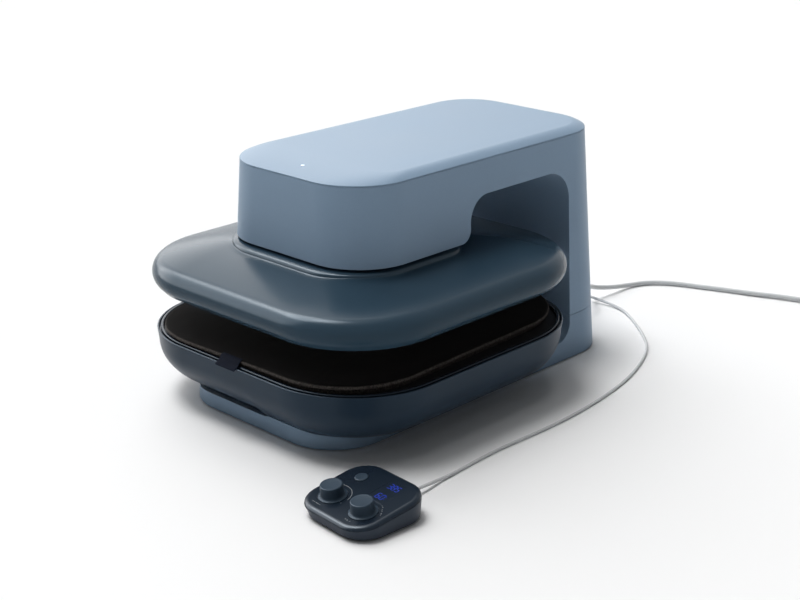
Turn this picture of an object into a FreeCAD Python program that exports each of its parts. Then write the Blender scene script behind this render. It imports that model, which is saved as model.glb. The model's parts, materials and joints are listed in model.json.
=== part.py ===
import FreeCAD, Part
import math
import os

# Automatic clamshell heat press with a separate control pod.
# Millimetres. Seen from the front, X is to the right, Y to the back and Z up.
# The origin is on the table under the centre of the plates.

# Housing, one drafted form that is parted level near the table
side_lean = math.tan(math.radians(4.0))
end_lean = 0.03
housing_half_width = 148.2
housing_rear_y = 351.73
housing_rear_radius = 71.6
head_front_y = -136.9
head_front_radius = 75.0
foot_front_y = -191.4
foot_front_radius = 73.0
foot_top_z = 28.0
foot_blend_radius = 25.0
feet_height = 2.0
wall = 3.0
seat_clearance = 0.3
seam_z = 61.5
seam_gap = 0.6
head_bottom_z = 209.0
head_height = 98.3
head_rear_y = 63.0
head_corner_radius = 17.5
arm_depth = 43.3
window_front_radius = 34.0
window_rear_radius = 41.0
column_front_y = 253.67
column_lean = 0.0236
cover_seam_z = head_bottom_z + head_height
arm_underside_z = cover_seam_z - arm_depth

# Top cover, rolled over wide at the front and tight at the sides and back
roll_rise = 7.9
roll_side_inset = 18.8
roll_front_inset = 65.0
panel_front_radius = 30.0
panel_rear_radius = 52.0
roll_sharpness = 1.2
roll_steps = 7
light_y = -94.8
light_radius = 2.5

# Lower bowl, its trim ring, bed and mat
rim_half_width = 215.0
rim_half_depth = 222.64
rim_radius = 122.0
lip_z = 91.3
lip_stand_out = 3.3
bowl_curve_radius = 57.1
bowl_curve_z = 77.9
bowl_curve_inset = 55.3
bowl_slot = 2.5
bowl_steps = 8
groove_outer = 0.8
groove_inner = -0.8
ledge_z = 84.0
trim_top_z = 90.9
trim_inner = -5.0
trim_flange_z = 87.6
bed_top_z = 88.0
bed_thickness = 6.0
mat_top_z = 100.0
mat_half_width = 195.6
mat_half_depth = 218.4
mat_radius = 106.0
mat_shoulder = 6.0
mat_turn = 1.8
mat_centre_x = -3.0
tag_left_x = -18.0
tag_right_x = 18.0
tag_thickness = 0.8
bowl_post_x = 120.0
bowl_post_y = 120.0
bowl_post_radius = 7.0
bowl_pad_radius = 9.0
screw_radius = 2.05
screw_head_radius = 4.5
screw_head_height = 3.2
screw_clearance = 0.5
bowl_screw_reach = 22.0

# Upper platen: cover with a domed top and a neck, carrier and heated plate
platen_half_width = 211.5
platen_half_depth = 216.7
platen_radius = 114.0
platen_edge_z = 146.35
platen_flare_out = 4.1
platen_flare_up = 4.55
roll_over_radius = 20.0
roll_over_inset = 10.8
roll_over_z = 164.5
dome_radius = 510.0
dome_reach = 105.0
dome_steps = 6
roll_over_steps = 9
neck_half_width = 134.0
neck_front_y = -139.0
neck_rear_y = 70.0
neck_front_radius = 80.0
neck_rear_radius = 40.0
neck_top_z = 205.5
neck_shoulder = 6.0
shroud_half_width = 121.5
shroud_front_y = -119.5
shroud_rear_y = 49.5
shroud_front_radius = 64.0
shroud_rear_radius = 40.0
shroud_wall = 1.5
shroud_top_z = 258.0
shroud_flange = 6.0
shroud_clearance = 0.5
head_opening_clearance = 1.5
plate_border = 21.0
plate_half_side = platen_half_width - plate_border
plate_corner_radius = 93.0
plate_thickness = 8.0
press_gap = 0.5
press_travel = 45.0
carrier_z = 172.0
carrier_thickness = 4.0
carrier_inset = -30.0
carrier_hole_x = 55.0
carrier_hole_front_y = 100.0
carrier_hole_rear_y = 80.0
carrier_hole_radius = 16.0
rib_x = 150.0
rib_half_length = 130.0
rib_height = 14.0
rib_width = 4.0
cover_post_x = 125.0
cover_post_y = 128.0
cover_post_radius = 7.0
spacer_reach = 140.0
spacer_radius = 5.0
spacer_foot_radius = 8.0
board_z = 164.0
board_thickness = 6.0
element_radius = 4.0
element_outer_half = 118.0
element_outer_radius = 50.0
element_inner_half = 70.0
element_inner_radius = 35.0
sensor_x = 20.0
sensor_y = 30.0
sensor_length = 24.0
sensor_half_width = 4.0
sensor_thickness = 2.5
sensor_bulb_radius = 3.0

# Screws that hold the top cover, from inside the window
cover_screw_x = 100.0
cover_screw_front_y = 120.0
cover_screw_rear_y = 205.0
cover_boss_radius = 6.0
cover_boss_drop = 14.0
clip_half_width = 6.0
clip_half_thickness = 1.0
clip_drop = 4.0

# Lift drive in the head
screw_shaft_radius = 8.0
screw_bottom_z = 160.0
screw_top_drop = 57.3
screw_pitch = 10.0
running_gap = 0.05
nut_flange_radius = 23.0
nut_flange_height = 6.0
nut_radius = 15.0
nut_top_z = 225.0
rod_radius = 6.0
rod_x = 80.0
rod_front_y = -75.0
rod_rear_y = 25.0
rod_top_drop = 23.3
guide_plate_rise = 8.0
guide_plate_thickness = 8.0
guide_plate_half_width = 105.0
guide_plate_front_y = -105.0
guide_plate_rear_y = 36.0
bush_radius = 10.0
bush_flange_radius = 13.0
bush_flange_height = 3.0
bush_drop = 7.0
coupling_radius = 12.0
coupling_length = 21.9
motor_shaft_radius = 4.0
motor_shaft_rise = 10.0
bearing_radius = 14.0
bearing_height = 4.0
bearing_gap = 0.1
motor_plate_drop = 45.3
motor_plate_thickness = 4.0
motor_plate_front_y = -45.0
motor_plate_rear_y = 40.0
gearbox_radius = 30.0
gearbox_height = 16.0
motor_radius = 26.0
motor_height = 22.0
guide_plate_z = head_bottom_z + guide_plate_rise
motor_plate_z = cover_seam_z - motor_plate_drop
motor_shaft_top_z = motor_plate_z + motor_shaft_rise
bearing_bottom_z = motor_plate_z - bearing_height
coupling_top_z = bearing_bottom_z - bearing_gap
coupling_bottom_z = coupling_top_z - coupling_length
screw_top_z = cover_seam_z - screw_top_drop
rod_top_z = cover_seam_z - rod_top_drop

# Steel frame of the arm, its hinge and its latch
frame_plate_x = 58.0
frame_plate_thickness = 5.0
frame_front_y = -60.0
frame_head_rear_y = 40.0
frame_column_y = 272.0
frame_top_drop = 8.3
frame_top_z = cover_seam_z - frame_top_drop
frame_bend_radius = 18.0
barrel_radius = 7.8
hinge_pin_radius = 4.0
hinge_bush_radius = 5.5
hinge_groove_gap = 1.2
frame_hole_radius = 11.0
frame_slot_radius = 8.0
frame_hole_pitch = 36.0
arm_hole_pitch = 45.0
tie_thickness_steel = 4.0
rear_tie_low_z = 120.0
rear_tie_high_z = 230.0
arm_tie_front_y = 226.0
arm_tie_rear_y = 246.0
bracket_flange_depth = 42.0
bracket_rib_height = 34.0
base_knuckle_half = 34.5
arm_knuckle_start = 35.0
arm_knuckle_end = 92.0
arm_leaf_half = 85.0
leaf_thickness = 4.0
arm_leaf_top_z = 112.0
arm_lift_clear = 9.6
corner_groove_radius = 5.8
corner_groove_half = 107.0
bolt_radius = 4.0
bolt_y = 279.0
bolt_z = 45.0
bolt_tail_x = 32.0
bolt_tip_x = 61.5
bolt_travel = 8.0
solenoid_left_x = 20.0
solenoid_right_x = 50.0
solenoid_half = 8.0
striker_width = 22.0
striker_bottom_z = 35.0
striker_top_z = 100.0
striker_hole_radius = 5.0

# Circuit boards
board_thickness_pcb = 1.6
board_stand_radius = 3.0
supply_left = -122.0
supply_right = -46.0
supply_front = 264.0
supply_rear = 316.0
supply_lift = 6.0
driver_half_width = 48.0
driver_front = 105.0
driver_rear = 195.0
driver_lift = 8.0

# Base internals, feet and cord exits
base_plate_thickness = 3.0
foot_pad_radius = 14.0
foot_peg_radius = 4.0
foot_x = 105.0
front_foot_y = -120.0
rear_foot_y = 290.0
exit_z = 42.0
power_exit_x = 60.0
pod_exit_x = -60.0
power_cord_diameter = 7.0
pod_cord_diameter = 4.0
power_relief_length = 35.0
power_relief_radius = 7.0
power_relief_tip_radius = 4.6
pod_socket_length = 14.0
pod_socket_radius = 5.5
pod_socket_tip_radius = 2.8

# Control pod, free-standing on the table, sloped top towards the user
pod_x = 263.84
pod_y = -259.26
pod_turn = -4.24
pod_half_width = 56.2
pod_half_depth = 53.2
pod_radius = 31.3
pod_height = 23.3
pod_slope = math.degrees(math.atan(0.14))
pod_floor_gap = 1.5
pod_side_lean = 0.1055
pod_bottom_shift = 2.8
pod_wall = 2.0
face_inset = 2.0
face_rise = 1.5
face_thickness = 3.5
dial_x = 25.6
dial_y = -20.5
dial_radius = 13.0
dial_height = 14.5
dial_skirt_radius = 16.6
dial_skirt_height = 3.0
dial_gap = 0.4
dial_shaft_radius = 3.0
button_x = -27.9
button_y = 23.0
button_radius = 7.8
button_travel = 1.0
button_rise = 1.3
display_x = 17.5
display_y = 20.5
display_half_width = 13.5
display_half_depth = 19.5
display_clearance = 0.15
pod_board_depth = 10.6
pod_board_thickness = 1.6
encoder_half = 6.5
pod_screw_x = 46.0
pod_screw_front_y = -26.0
pod_screw_rear_y = 30.0
pod_screw_radius = 1.3
pod_screw_head_radius = 2.6
pod_screw_reach = 3.0
pod_boss_radius = 3.2
pod_foot_x = 30.0
pod_foot_radius = 5.0
switch_height = 4.0
switch_half = 3.0
button_stem_radius = 1.8
pod_relief_x = 5.0
pod_relief_length = 12.0
pod_relief_z = 8.0
pod_relief_radius = 4.2
pod_relief_tip_radius = 2.7

# Power cord: the stretch that lies free, then a neat coil of two layers
cord_lift = 1.0
power_route = [
    (60.0, 0.0, 42.0),
    (60.0, 406.0, 42.0),
    (53.0, 427.0, 37.5),
    (36.8, 445.0, 29.5),
    (28.6, 462.0, 21.3),
    (29.8, 482.5, 15.5),
    (32.5, 503.5, 11.2),
    (32.6, 526.0, 7.0),
    (34.8, 547.0, 4.4),
    (41.0, 565.5, 3.6),
    (50.5, 580.0, 3.5),
    (66.0, 594.0, 3.5),
    (89.0, 606.5, 3.5),
    (118.0, 617.5, 3.5),
    (154.0, 631.5, 3.6),
    (190.0, 644.0, 3.8),
    (228.0, 658.5, 4.5),
    (266.0, 671.5, 4.5),
    (295.0, 682.2, 4.5),
]
coil_outer_radius = 48.0
coil_pitch = 8.0
coil_first_quarters = 10
coil_second_quarters = 9
coil_climb_step = 1.5
layer_rise = 7.6
coil_lead = 8.0
coil_tail = 34.0
tie_width = 11.0
tie_thickness = 0.6
tie_clearance = 0.3
tie_angle = 200.0
plug_relief_length = 26.0
plug_relief_radius = 5.0
plug_length = 36.0
plug_half_width = 13.0
plug_half_height = 11.0
blade_length = 16.0
blade_gap = 6.35
blade_half_thickness = 0.75
blade_half_height = 3.2
earth_pin_radius = 2.4
earth_pin_drop = 6.0
blade_lift = 3.0
plug_overlap = 2.0
plug_corner_radius = 5.0
plug_sections = [(0.0, 4.0, 3.0), (0.3, 1.5, 1.5), (0.75, 0.0, 0.0), (1.0, 0.0, 0.0)]

# Pod cord, seen almost from end to end
pod_route = [
    (-60.0, 0.0, 42.0),
    (-60.0, 381.0, 42.0),
    (-54.0, 401.0, 36.0),
    (-35.0, 423.0, 25.0),
    (-12.0, 441.0, 16.0),
    (14.0, 451.5, 10.0),
    (40.0, 457.5, 6.4),
    (66.0, 459.2, 3.8),
    (91.0, 454.0, 2.3),
    (116.0, 437.5, 2.0),
    (137.0, 421.0, 2.0),
    (158.0, 403.5, 2.0),
    (181.0, 382.0, 2.0),
    (201.0, 360.0, 2.0),
    (218.5, 330.0, 2.0),
    (232.0, 299.0, 2.0),
    (245.0, 262.0, 2.0),
    (254.5, 225.0, 2.0),
    (261.0, 188.0, 2.0),
    (266.5, 146.0, 2.0),
    (269.5, 103.0, 2.0),
    (270.0, 61.0, 2.0),
    (268.8, 22.0, 2.0),
    (266.6, -14.0, 2.0),
    (266.2, -50.0, 2.0),
    (267.8, -84.0, 2.0),
    (269.6, -112.0, 2.0),
    (270.6, -135.0, 2.8),
    (272.4, -156.0, 5.4),
]

UP = FreeCAD.Vector(0, 0, 1)
ACROSS = FreeCAD.Vector(1, 0, 0)
BACK = FreeCAD.Vector(0, 1, 0)
REACH = 400.0
made = []


def point(x, y, z):
    return FreeCAD.Vector(x, y, z)


def save(name, *solids):
    """Write one sub-part, one or more solids, to its own file."""
    shape = solids[0] if len(solids) == 1 else Part.makeCompound(list(solids))
    shape.exportStep(os.path.join("parts", name + ".step"))
    made.append((name, shape))


def rounded(half_x, front, rear, front_radius, rear_radius, z, centre_x=0.0):
    """A closed rounded rectangle at height z, with its own front and rear corners."""
    left = centre_x - half_x
    right = centre_x + half_x
    lines = [
        (point(left + front_radius, front, z), point(right - front_radius, front, z)),
        (point(right, front + front_radius, z), point(right, rear - rear_radius, z)),
        (point(right - rear_radius, rear, z), point(left + rear_radius, rear, z)),
        (point(left, rear - rear_radius, z), point(left, front + front_radius, z)),
    ]
    corners = [
        (right - front_radius, front + front_radius, front_radius, 1, -1),
        (right - rear_radius, rear - rear_radius, rear_radius, 1, 1),
        (left + rear_radius, rear - rear_radius, rear_radius, -1, 1),
        (left + front_radius, front + front_radius, front_radius, -1, -1),
    ]
    half = math.sqrt(0.5)
    edges = []
    for index in range(4):
        start, end = lines[index]
        edges.append(Part.LineSegment(start, end).toShape())
        x, y, radius, side_x, side_y = corners[index]
        middle = point(x + side_x * radius * half, y + side_y * radius * half, z)
        next_start = lines[(index + 1) % 4][0]
        edges.append(Part.Arc(end, middle, next_start).toShape())
    return Part.Wire(edges)


def prism(wire, top_z):
    """A straight solid on a level wire."""
    bottom_z = wire.Vertexes[0].Point.z
    return Part.Face(wire).extrude(UP * (top_z - bottom_z))


def stack(wires):
    """A solid through level wires of like make, from the bottom up."""
    return Part.makeLoft(wires, True, True)


def block(x0, x1, y0, y1, z0, z1):
    return Part.makeBox(x1 - x0, y1 - y0, z1 - z0, point(x0, y0, z0))


def post(x, y, z0, z1, radius):
    return Part.makeCylinder(radius, z1 - z0, point(x, y, z0), UP)


def rod_along_x(x0, x1, y, z, radius):
    return Part.makeCylinder(radius, x1 - x0, point(x0, y, z), ACROSS)


def fuse(*solids):
    return solids[0].multiFuse(list(solids[1:])).removeSplitter()


def cut(solid, *tools):
    return solid.cut(list(tools)) if len(tools) > 1 else solid.cut(tools[0])


def mirrored_pair(solid):
    """The same piece on the left and on the right."""
    return [solid, solid.mirror(point(0, 0, 0), ACROSS)]


def extruded_side(points_and_bends, x0, x1):
    """A side profile given as corners (y, z, bend radius), extruded from x0 to x1."""
    count = len(points_and_bends)
    starts = []
    for index in range(count):
        y, z, radius = points_and_bends[index]
        before = points_and_bends[index - 1]
        after = points_and_bends[(index + 1) % count]
        corner = point(x0, y, z)
        if radius == 0:
            starts.append((corner, None, corner))
            continue
        back = (point(x0, before[0], before[1]) - corner).normalize()
        ahead = (point(x0, after[0], after[1]) - corner).normalize()
        half_angle = back.getAngle(ahead) / 2
        reach = radius / math.tan(half_angle)
        middle_direction = (back + ahead).normalize()
        middle = corner + middle_direction * (radius / math.sin(half_angle) - radius)
        starts.append((corner + back * reach, middle, corner + ahead * reach))
    edges = []
    for index in range(count):
        first, middle, last = starts[index]
        if middle is not None:
            edges.append(Part.Arc(first, middle, last).toShape())
        following = starts[(index + 1) % count][0]
        edges.append(Part.LineSegment(last, following).toShape())
    return Part.Face(Part.Wire(edges)).extrude(ACROSS * (x1 - x0))


# Housing forms, shared by the lower and the upper housing

def housing_outline(z, front_y, front_radius, inset=0.0):
    return rounded(
        housing_half_width - side_lean * z - inset,
        front_y + end_lean * z + inset,
        housing_rear_y - end_lean * z - inset,
        front_radius - inset,
        housing_rear_radius - inset,
        z,
    )


def column_front(z):
    return column_front_y + column_lean * z


def window_space(grow):
    """Everything that is open in front of the column and under the arm."""
    return extruded_side([
        (-REACH, 0, 0),
        (-REACH, head_bottom_z + grow, 0),
        (head_rear_y - grow, head_bottom_z + grow, head_corner_radius - grow),
        (head_rear_y - grow, arm_underside_z + grow, window_front_radius + grow),
        (column_front(arm_underside_z) + grow, arm_underside_z + grow, window_rear_radius + grow),
        (column_front(0) + grow, 0, 0),
    ], -REACH / 2, REACH / 2)


def foot_space(grow):
    """What is open above the foot, in front of the column."""
    top = seam_z + REACH / 10
    return extruded_side([
        (-REACH, foot_top_z - grow, 0),
        (column_front(foot_top_z) + grow, foot_top_z - grow, foot_blend_radius + grow),
        (column_front(top) + grow, top, 0),
        (-REACH, top, 0),
    ], -REACH / 2, REACH / 2)


def rim_outline(grow, z):
    return rounded(
        rim_half_width + grow, -rim_half_depth - grow, rim_half_depth + grow,
        rim_radius + grow, rim_radius + grow, z,
    )


def bowl_form(grow, top_z):
    """The outer form of the bowl, grown evenly: a level bottom, a round side and a steep wall."""
    radius = bowl_curve_radius + grow
    outlines = []
    for step in range(bowl_steps + 1):
        angle = math.pi / 2 * (1 - step / bowl_steps)
        outlines.append(rim_outline(
            radius * math.cos(angle) - bowl_curve_inset,
            bowl_curve_z - radius * math.sin(angle),
        ))
    outlines.append(rim_outline(lip_stand_out + grow, top_z))
    return stack(outlines)


def hinge_y():
    return housing_rear_y - end_lean * seam_z - barrel_radius


def hinge_groove():
    """Round clearance for the hinge barrel, narrower past its ends."""
    middle = rod_along_x(
        -arm_knuckle_end - seam_gap, arm_knuckle_end + seam_gap,
        hinge_y(), seam_z, barrel_radius + hinge_groove_gap,
    )
    ends = rod_along_x(
        -corner_groove_half, corner_groove_half, hinge_y(), seam_z, corner_groove_radius,
    )
    return fuse(middle, ends)


# Base

def base_floor_z():
    """Top of the steel plate that closes the base."""
    return feet_height + base_plate_thickness


def base_top_z():
    return seam_z - seam_gap / 2


def bowl_bottom_z():
    return bowl_curve_z - bowl_curve_radius


def dish_z():
    return bowl_bottom_z() - bowl_slot


def bowl_post_places():
    return [(x, y) for x in (-bowl_post_x, bowl_post_x) for y in (-bowl_post_y, bowl_post_y)]


def base_housing():
    top = base_top_z()
    outer = stack([
        housing_outline(feet_height, foot_front_y, foot_front_radius),
        housing_outline(top, foot_front_y, foot_front_radius),
    ])
    outer = cut(outer, foot_space(0.0), bowl_form(bowl_slot, lip_z + wall))
    below = feet_height - wall
    above = top + wall
    cavity = stack([
        housing_outline(below, foot_front_y, foot_front_radius, wall),
        housing_outline(above, foot_front_y, foot_front_radius, wall),
    ])
    cavity = cut(cavity, foot_space(wall), bowl_form(bowl_slot + wall, lip_z + 2 * wall))
    shell = cut(outer, cavity)
    pads = []
    holes = []
    for x, y in bowl_post_places():
        pads.append(post(x, y, dish_z() - wall / 2, bowl_bottom_z(), bowl_pad_radius))
        holes.append(post(x, y, feet_height, bowl_bottom_z() + wall, screw_radius + screw_clearance))
    shell = fuse(shell, *pads)
    exits = [
        cord_exit_hole(power_exit_x, power_relief_radius - 1.0),
        cord_exit_hole(pod_exit_x, pod_socket_radius - 1.0),
    ]
    return cut(shell, hinge_groove(), *(holes + exits))


def cord_exit_hole(x, radius):
    rear = housing_rear_y
    return Part.makeCylinder(radius, 4 * wall, point(x, rear - 3 * wall, exit_z), BACK)


def feet_places():
    return [(x, y) for x in (-foot_x, foot_x) for y in (front_foot_y, rear_foot_y)]


def base_plate():
    bottom = housing_outline(feet_height, foot_front_y, foot_front_radius, wall + seat_clearance)
    plate = prism(bottom, base_floor_z())
    holes = [
        post(x, y, 0, REACH / 10, foot_peg_radius + running_gap) for x, y in feet_places()
    ]
    return cut(plate, *holes)


def rubber_feet():
    peg_top = base_floor_z() + 1.0
    feet = []
    for x, y in feet_places():
        pad = Part.makeCone(foot_pad_radius - 0.5, foot_pad_radius, feet_height, point(x, y, 0), UP)
        feet.append(fuse(pad, post(x, y, feet_height / 2, peg_top, foot_peg_radius)))
    return feet


def lower_bowl():
    inner = bowl_form(-wall, bowl_curve_z + 0.5)
    shaft = prism(rim_outline(bowl_curve_radius - wall - bowl_curve_inset, bowl_curve_z), ledge_z + 1)
    groove = prism(rim_outline(groove_outer, ledge_z), lip_z + wall)
    shell = cut(bowl_form(0.0, lip_z), inner, shaft, groove)
    posts = []
    holes = []
    bed_bottom = bed_top_z - bed_thickness
    for x, y in bowl_post_places():
        posts.append(post(x, y, bowl_bottom_z() + wall / 2, bed_bottom, bowl_post_radius))
        hole_top = bowl_bottom_z() + bowl_screw_reach + 1.0
        holes.append(post(x, y, bowl_bottom_z() - 1.0, hole_top, screw_radius + running_gap))
    return cut(fuse(shell, *posts), *holes)


def bowl_trim_ring():
    ring = prism(rim_outline(groove_inner, ledge_z), trim_top_z)
    flange = prism(rim_outline(groove_outer - seat_clearance, ledge_z), trim_flange_z)
    opening = prism(rim_outline(trim_inner, ledge_z - 1), trim_top_z + 1)
    return cut(fuse(ring, flange), opening)


def bed_plate():
    outline = rim_outline(trim_inner - seat_clearance, bed_top_z - bed_thickness)
    return prism(outline, bed_top_z)


def mat():
    """The pressing mat, narrower where it drops inside the trim ring."""
    sections = [
        (5.2, bed_top_z),
        (4.4, trim_top_z + seat_clearance),
        (0.8, trim_top_z + 2.0),
        (0.0, mat_top_z - 4.0),
        (0.7, mat_top_z - 1.8),
        (2.4, mat_top_z - 0.6),
        (mat_shoulder, mat_top_z),
    ]
    outlines = []
    for inset, z in sections:
        outlines.append(rounded(
            mat_half_width - inset, inset - mat_half_depth, mat_half_depth - inset,
            mat_radius - inset, mat_radius - inset, z,
        ))
    solid = stack(outlines)
    solid.rotate(point(0, 0, 0), UP, mat_turn)
    solid.translate(point(mat_centre_x, 0, 0))
    return solid


def mat_tag():
    """A folded fabric tag, sewn on the mat's front edge and hung over the lip."""
    path = [
        (-213.9, mat_top_z + 0.45),
        (-217.9, mat_top_z - 0.05),
        (-220.9, mat_top_z - 2.6),
        (-222.3, mat_top_z - 5.6),
        (-225.8, lip_z + 0.95),
        (-229.6, lip_z - 1.6),
    ]
    out = 0.3 * tag_thickness
    up = 0.5 * tag_thickness
    above = [(y - out, z + up, 0) for y, z in path]
    below = [(y + out, z - up, 0) for y, z in path]
    return extruded_side(above + below[::-1], tag_left_x, tag_right_x)


def bowl_screws():
    screws = []
    head_top = dish_z() - wall
    for x, y in bowl_post_places():
        head = post(x, y, head_top - screw_head_height, head_top, screw_head_radius)
        shank = post(x, y, head_top - 1.0, bowl_bottom_z() + bowl_screw_reach, screw_radius)
        screws.append(fuse(head, shank))
    return screws


# Hinge

def hinge_bracket():
    y = hinge_y()
    bottom = base_floor_z()
    barrel = rod_along_x(-base_knuckle_half, base_knuckle_half, y, seam_z, barrel_radius)
    leaf = block(-base_knuckle_half, base_knuckle_half, y - leaf_thickness, y, bottom, seam_z)
    flange = block(-base_knuckle_half, base_knuckle_half, y - bracket_flange_depth, y,
                   bottom, bottom + leaf_thickness)
    ribs = []
    for x in (-base_knuckle_half, base_knuckle_half - leaf_thickness):
        rib = extruded_side([
            (y - bracket_flange_depth + 6.0, bottom, 0), (y - 1.0, bottom, 0),
            (y - 1.0, bottom + bracket_rib_height, 0),
        ], x, x + leaf_thickness)
        ribs.append(rib)
    body = fuse(barrel, leaf, flange, *ribs)
    bore = rod_along_x(
        -base_knuckle_half - 1, base_knuckle_half + 1, y, seam_z, hinge_pin_radius + 0.01,
    )
    return cut(body, bore)


def hinge_pin():
    y = hinge_y()
    end = arm_knuckle_end + 0.5
    shaft = rod_along_x(-end, end, y, seam_z, hinge_pin_radius)
    heads = [
        rod_along_x(-end - 2.0, -end, y, seam_z, corner_groove_radius - 0.8),
        rod_along_x(end, end + 2.0, y, seam_z, corner_groove_radius - 0.8),
    ]
    return fuse(shaft, *heads)


def arm_hinge_leaf():
    y = hinge_y()
    leaf_bottom = seam_z + arm_lift_clear
    leaf = block(-arm_leaf_half, arm_leaf_half, y - leaf_thickness, y, leaf_bottom, arm_leaf_top_z)
    barrel = rod_along_x(arm_knuckle_start, arm_knuckle_end, y, seam_z, barrel_radius)
    web = block(arm_knuckle_start, arm_leaf_half, y - leaf_thickness, y, seam_z, leaf_bottom + 1.0)
    knuckle = fuse(barrel, web)
    bore = rod_along_x(
        -arm_knuckle_end - 1, arm_knuckle_end + 1, y, seam_z, hinge_bush_radius + 0.01,
    )
    return cut(fuse(leaf, *mirrored_pair(knuckle)), bore)


def hinge_bushes():
    y = hinge_y()
    outer = rod_along_x(arm_knuckle_start, arm_knuckle_end, y, seam_z, hinge_bush_radius)
    inner = rod_along_x(
        arm_knuckle_start - 1, arm_knuckle_end + 1, y, seam_z, hinge_pin_radius + running_gap,
    )
    return mirrored_pair(cut(outer, inner))


# Base internals

def board_with_parts(left, right, front, rear, floor, lift, parts):
    """A circuit board on four stand-offs, with its parts standing on it."""
    z = floor + lift
    board = block(left, right, front, rear, z, z + board_thickness_pcb)
    margin = board_stand_radius + 2.0
    stands = []
    for x in (left + margin, right - margin):
        for y in (front + margin, rear - margin):
            stands.append(post(x, y, floor, z + board_thickness_pcb / 2, board_stand_radius))
    return fuse(board, *(stands + parts))


def power_board():
    """Supply board with its transformer, relay and capacitors."""
    floor = base_floor_z()
    z = floor + supply_lift + board_thickness_pcb / 2
    front = supply_front
    transformer = block(supply_left + 20, supply_left + 52, front + 8, front + 32, z, z + 25.0)
    relay = block(supply_right - 26, supply_right - 8, front + 8, front + 32, z, z + 13.0)
    capacitors = []
    for step in range(3):
        x = supply_left + 26 + 17 * step
        capacitors.append(post(x, supply_rear - 9, z, z + 19.0, 6.0))
    parts = [transformer, relay] + capacitors
    return board_with_parts(
        supply_left, supply_right, supply_front, supply_rear, floor, supply_lift, parts,
    )


def latch_solenoid():
    yoke = block(
        solenoid_left_x, solenoid_right_x, bolt_y - solenoid_half, bolt_y + solenoid_half,
        bolt_z - solenoid_half, bolt_z + solenoid_half,
    )
    floor = base_floor_z()
    stand = block(
        solenoid_left_x + 6, solenoid_right_x - 6, bolt_y - 6, bolt_y + 6, floor, bolt_z,
    )
    flange = block(
        solenoid_left_x, solenoid_right_x, bolt_y - solenoid_half, bolt_y + solenoid_half,
        floor, floor + 3.0,
    )
    bore = rod_along_x(
        bolt_tail_x - 2.0, solenoid_right_x + 1, bolt_y, bolt_z, bolt_radius + running_gap,
    )
    return cut(fuse(yoke, stand, flange), bore)


def latch_bolt():
    shaft = rod_along_x(bolt_tail_x, bolt_tip_x - 1.5, bolt_y, bolt_z, bolt_radius)
    tip = Part.makeCone(
        bolt_radius, bolt_radius - 1.5, 1.5, point(bolt_tip_x - 1.5, bolt_y, bolt_z), ACROSS,
    )
    collar = rod_along_x(
        solenoid_right_x + 0.3, solenoid_right_x + 2.3, bolt_y, bolt_z, bolt_radius + 2.0,
    )
    return fuse(shaft, tip, collar)


def latch_striker():
    left = frame_plate_x + frame_plate_thickness
    half = striker_width / 2
    plate = block(
        left, left + 4.0, bolt_y - half, bolt_y + half, striker_bottom_z, striker_top_z,
    )
    hole = rod_along_x(left - 1, left + 5, bolt_y, bolt_z, striker_hole_radius)
    return cut(plate, hole)


def rear_wall_y(z):
    return housing_rear_y - end_lean * z


def tapered_exit(x, length, radius, tip_radius):
    """A cord exit through the rear wall: inner flange, neck and a tapered tail."""
    wall_y = rear_wall_y(exit_z)
    seat = end_lean * radius + running_gap
    tail = Part.makeCone(radius, tip_radius, length - seat, point(x, wall_y + seat, exit_z), BACK)
    neck = Part.makeCylinder(
        radius - 1.1, wall + 3.5, point(x, wall_y - wall - 2.0, exit_z), BACK,
    )
    flange = Part.makeCylinder(radius + 1.0, 2.0, point(x, wall_y - wall - 2.3, exit_z), BACK)
    return fuse(tail, neck, flange)


def power_cord_relief():
    return tapered_exit(
        power_exit_x, power_relief_length, power_relief_radius, power_relief_tip_radius,
    )


def pod_cord_socket():
    return tapered_exit(pod_exit_x, pod_socket_length, pod_socket_radius, pod_socket_tip_radius)


# Arm

def arm_housing():
    bottom = seam_z + seam_gap / 2
    outer = stack([
        housing_outline(bottom, head_front_y, head_front_radius),
        housing_outline(cover_seam_z, head_front_y, head_front_radius),
    ])
    outer = cut(outer, window_space(0.0))
    cavity = stack([
        housing_outline(bottom - wall, head_front_y, head_front_radius, wall),
        housing_outline(cover_seam_z + wall, head_front_y, head_front_radius, wall),
    ])
    cavity = cut(cavity, window_space(wall))
    shell = cut(outer, cavity)
    gap = head_opening_clearance
    opening = prism(rounded(
        shroud_half_width + gap, shroud_front_y - gap, shroud_rear_y + gap,
        shroud_front_radius + gap, shroud_rear_radius + gap, head_bottom_z - wall,
    ), head_bottom_z + 2 * wall)
    bosses = []
    holes = []
    for x, y in cover_screw_places():
        boss_bottom = arm_underside_z + wall / 2
        bosses.append(post(x, y, boss_bottom, cover_boss_z(), cover_boss_radius))
        holes.append(post(x, y, arm_underside_z - 1, cover_seam_z, screw_radius + 0.2))
        holes.append(post(
            x, y, arm_underside_z - 1, arm_underside_z + screw_head_height + 0.8,
            screw_head_radius + 0.4,
        ))
    shell = fuse(shell, *bosses)
    return cut(shell, opening, hinge_groove(), *holes)


def cover_screw_places():
    return [
        (x, y) for x in (-cover_screw_x, cover_screw_x)
        for y in (cover_screw_front_y, cover_screw_rear_y)
    ]


def cover_boss_z():
    return cover_seam_z - cover_boss_drop


def roll(t):
    """Share of the roll's inset and of its rise at a turn t from 0 to 1."""
    angle = t * math.pi / 2
    inset = 1 - max(math.cos(angle), 0.0) ** roll_sharpness
    rise = math.sin(angle) ** roll_sharpness
    return inset, rise


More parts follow.
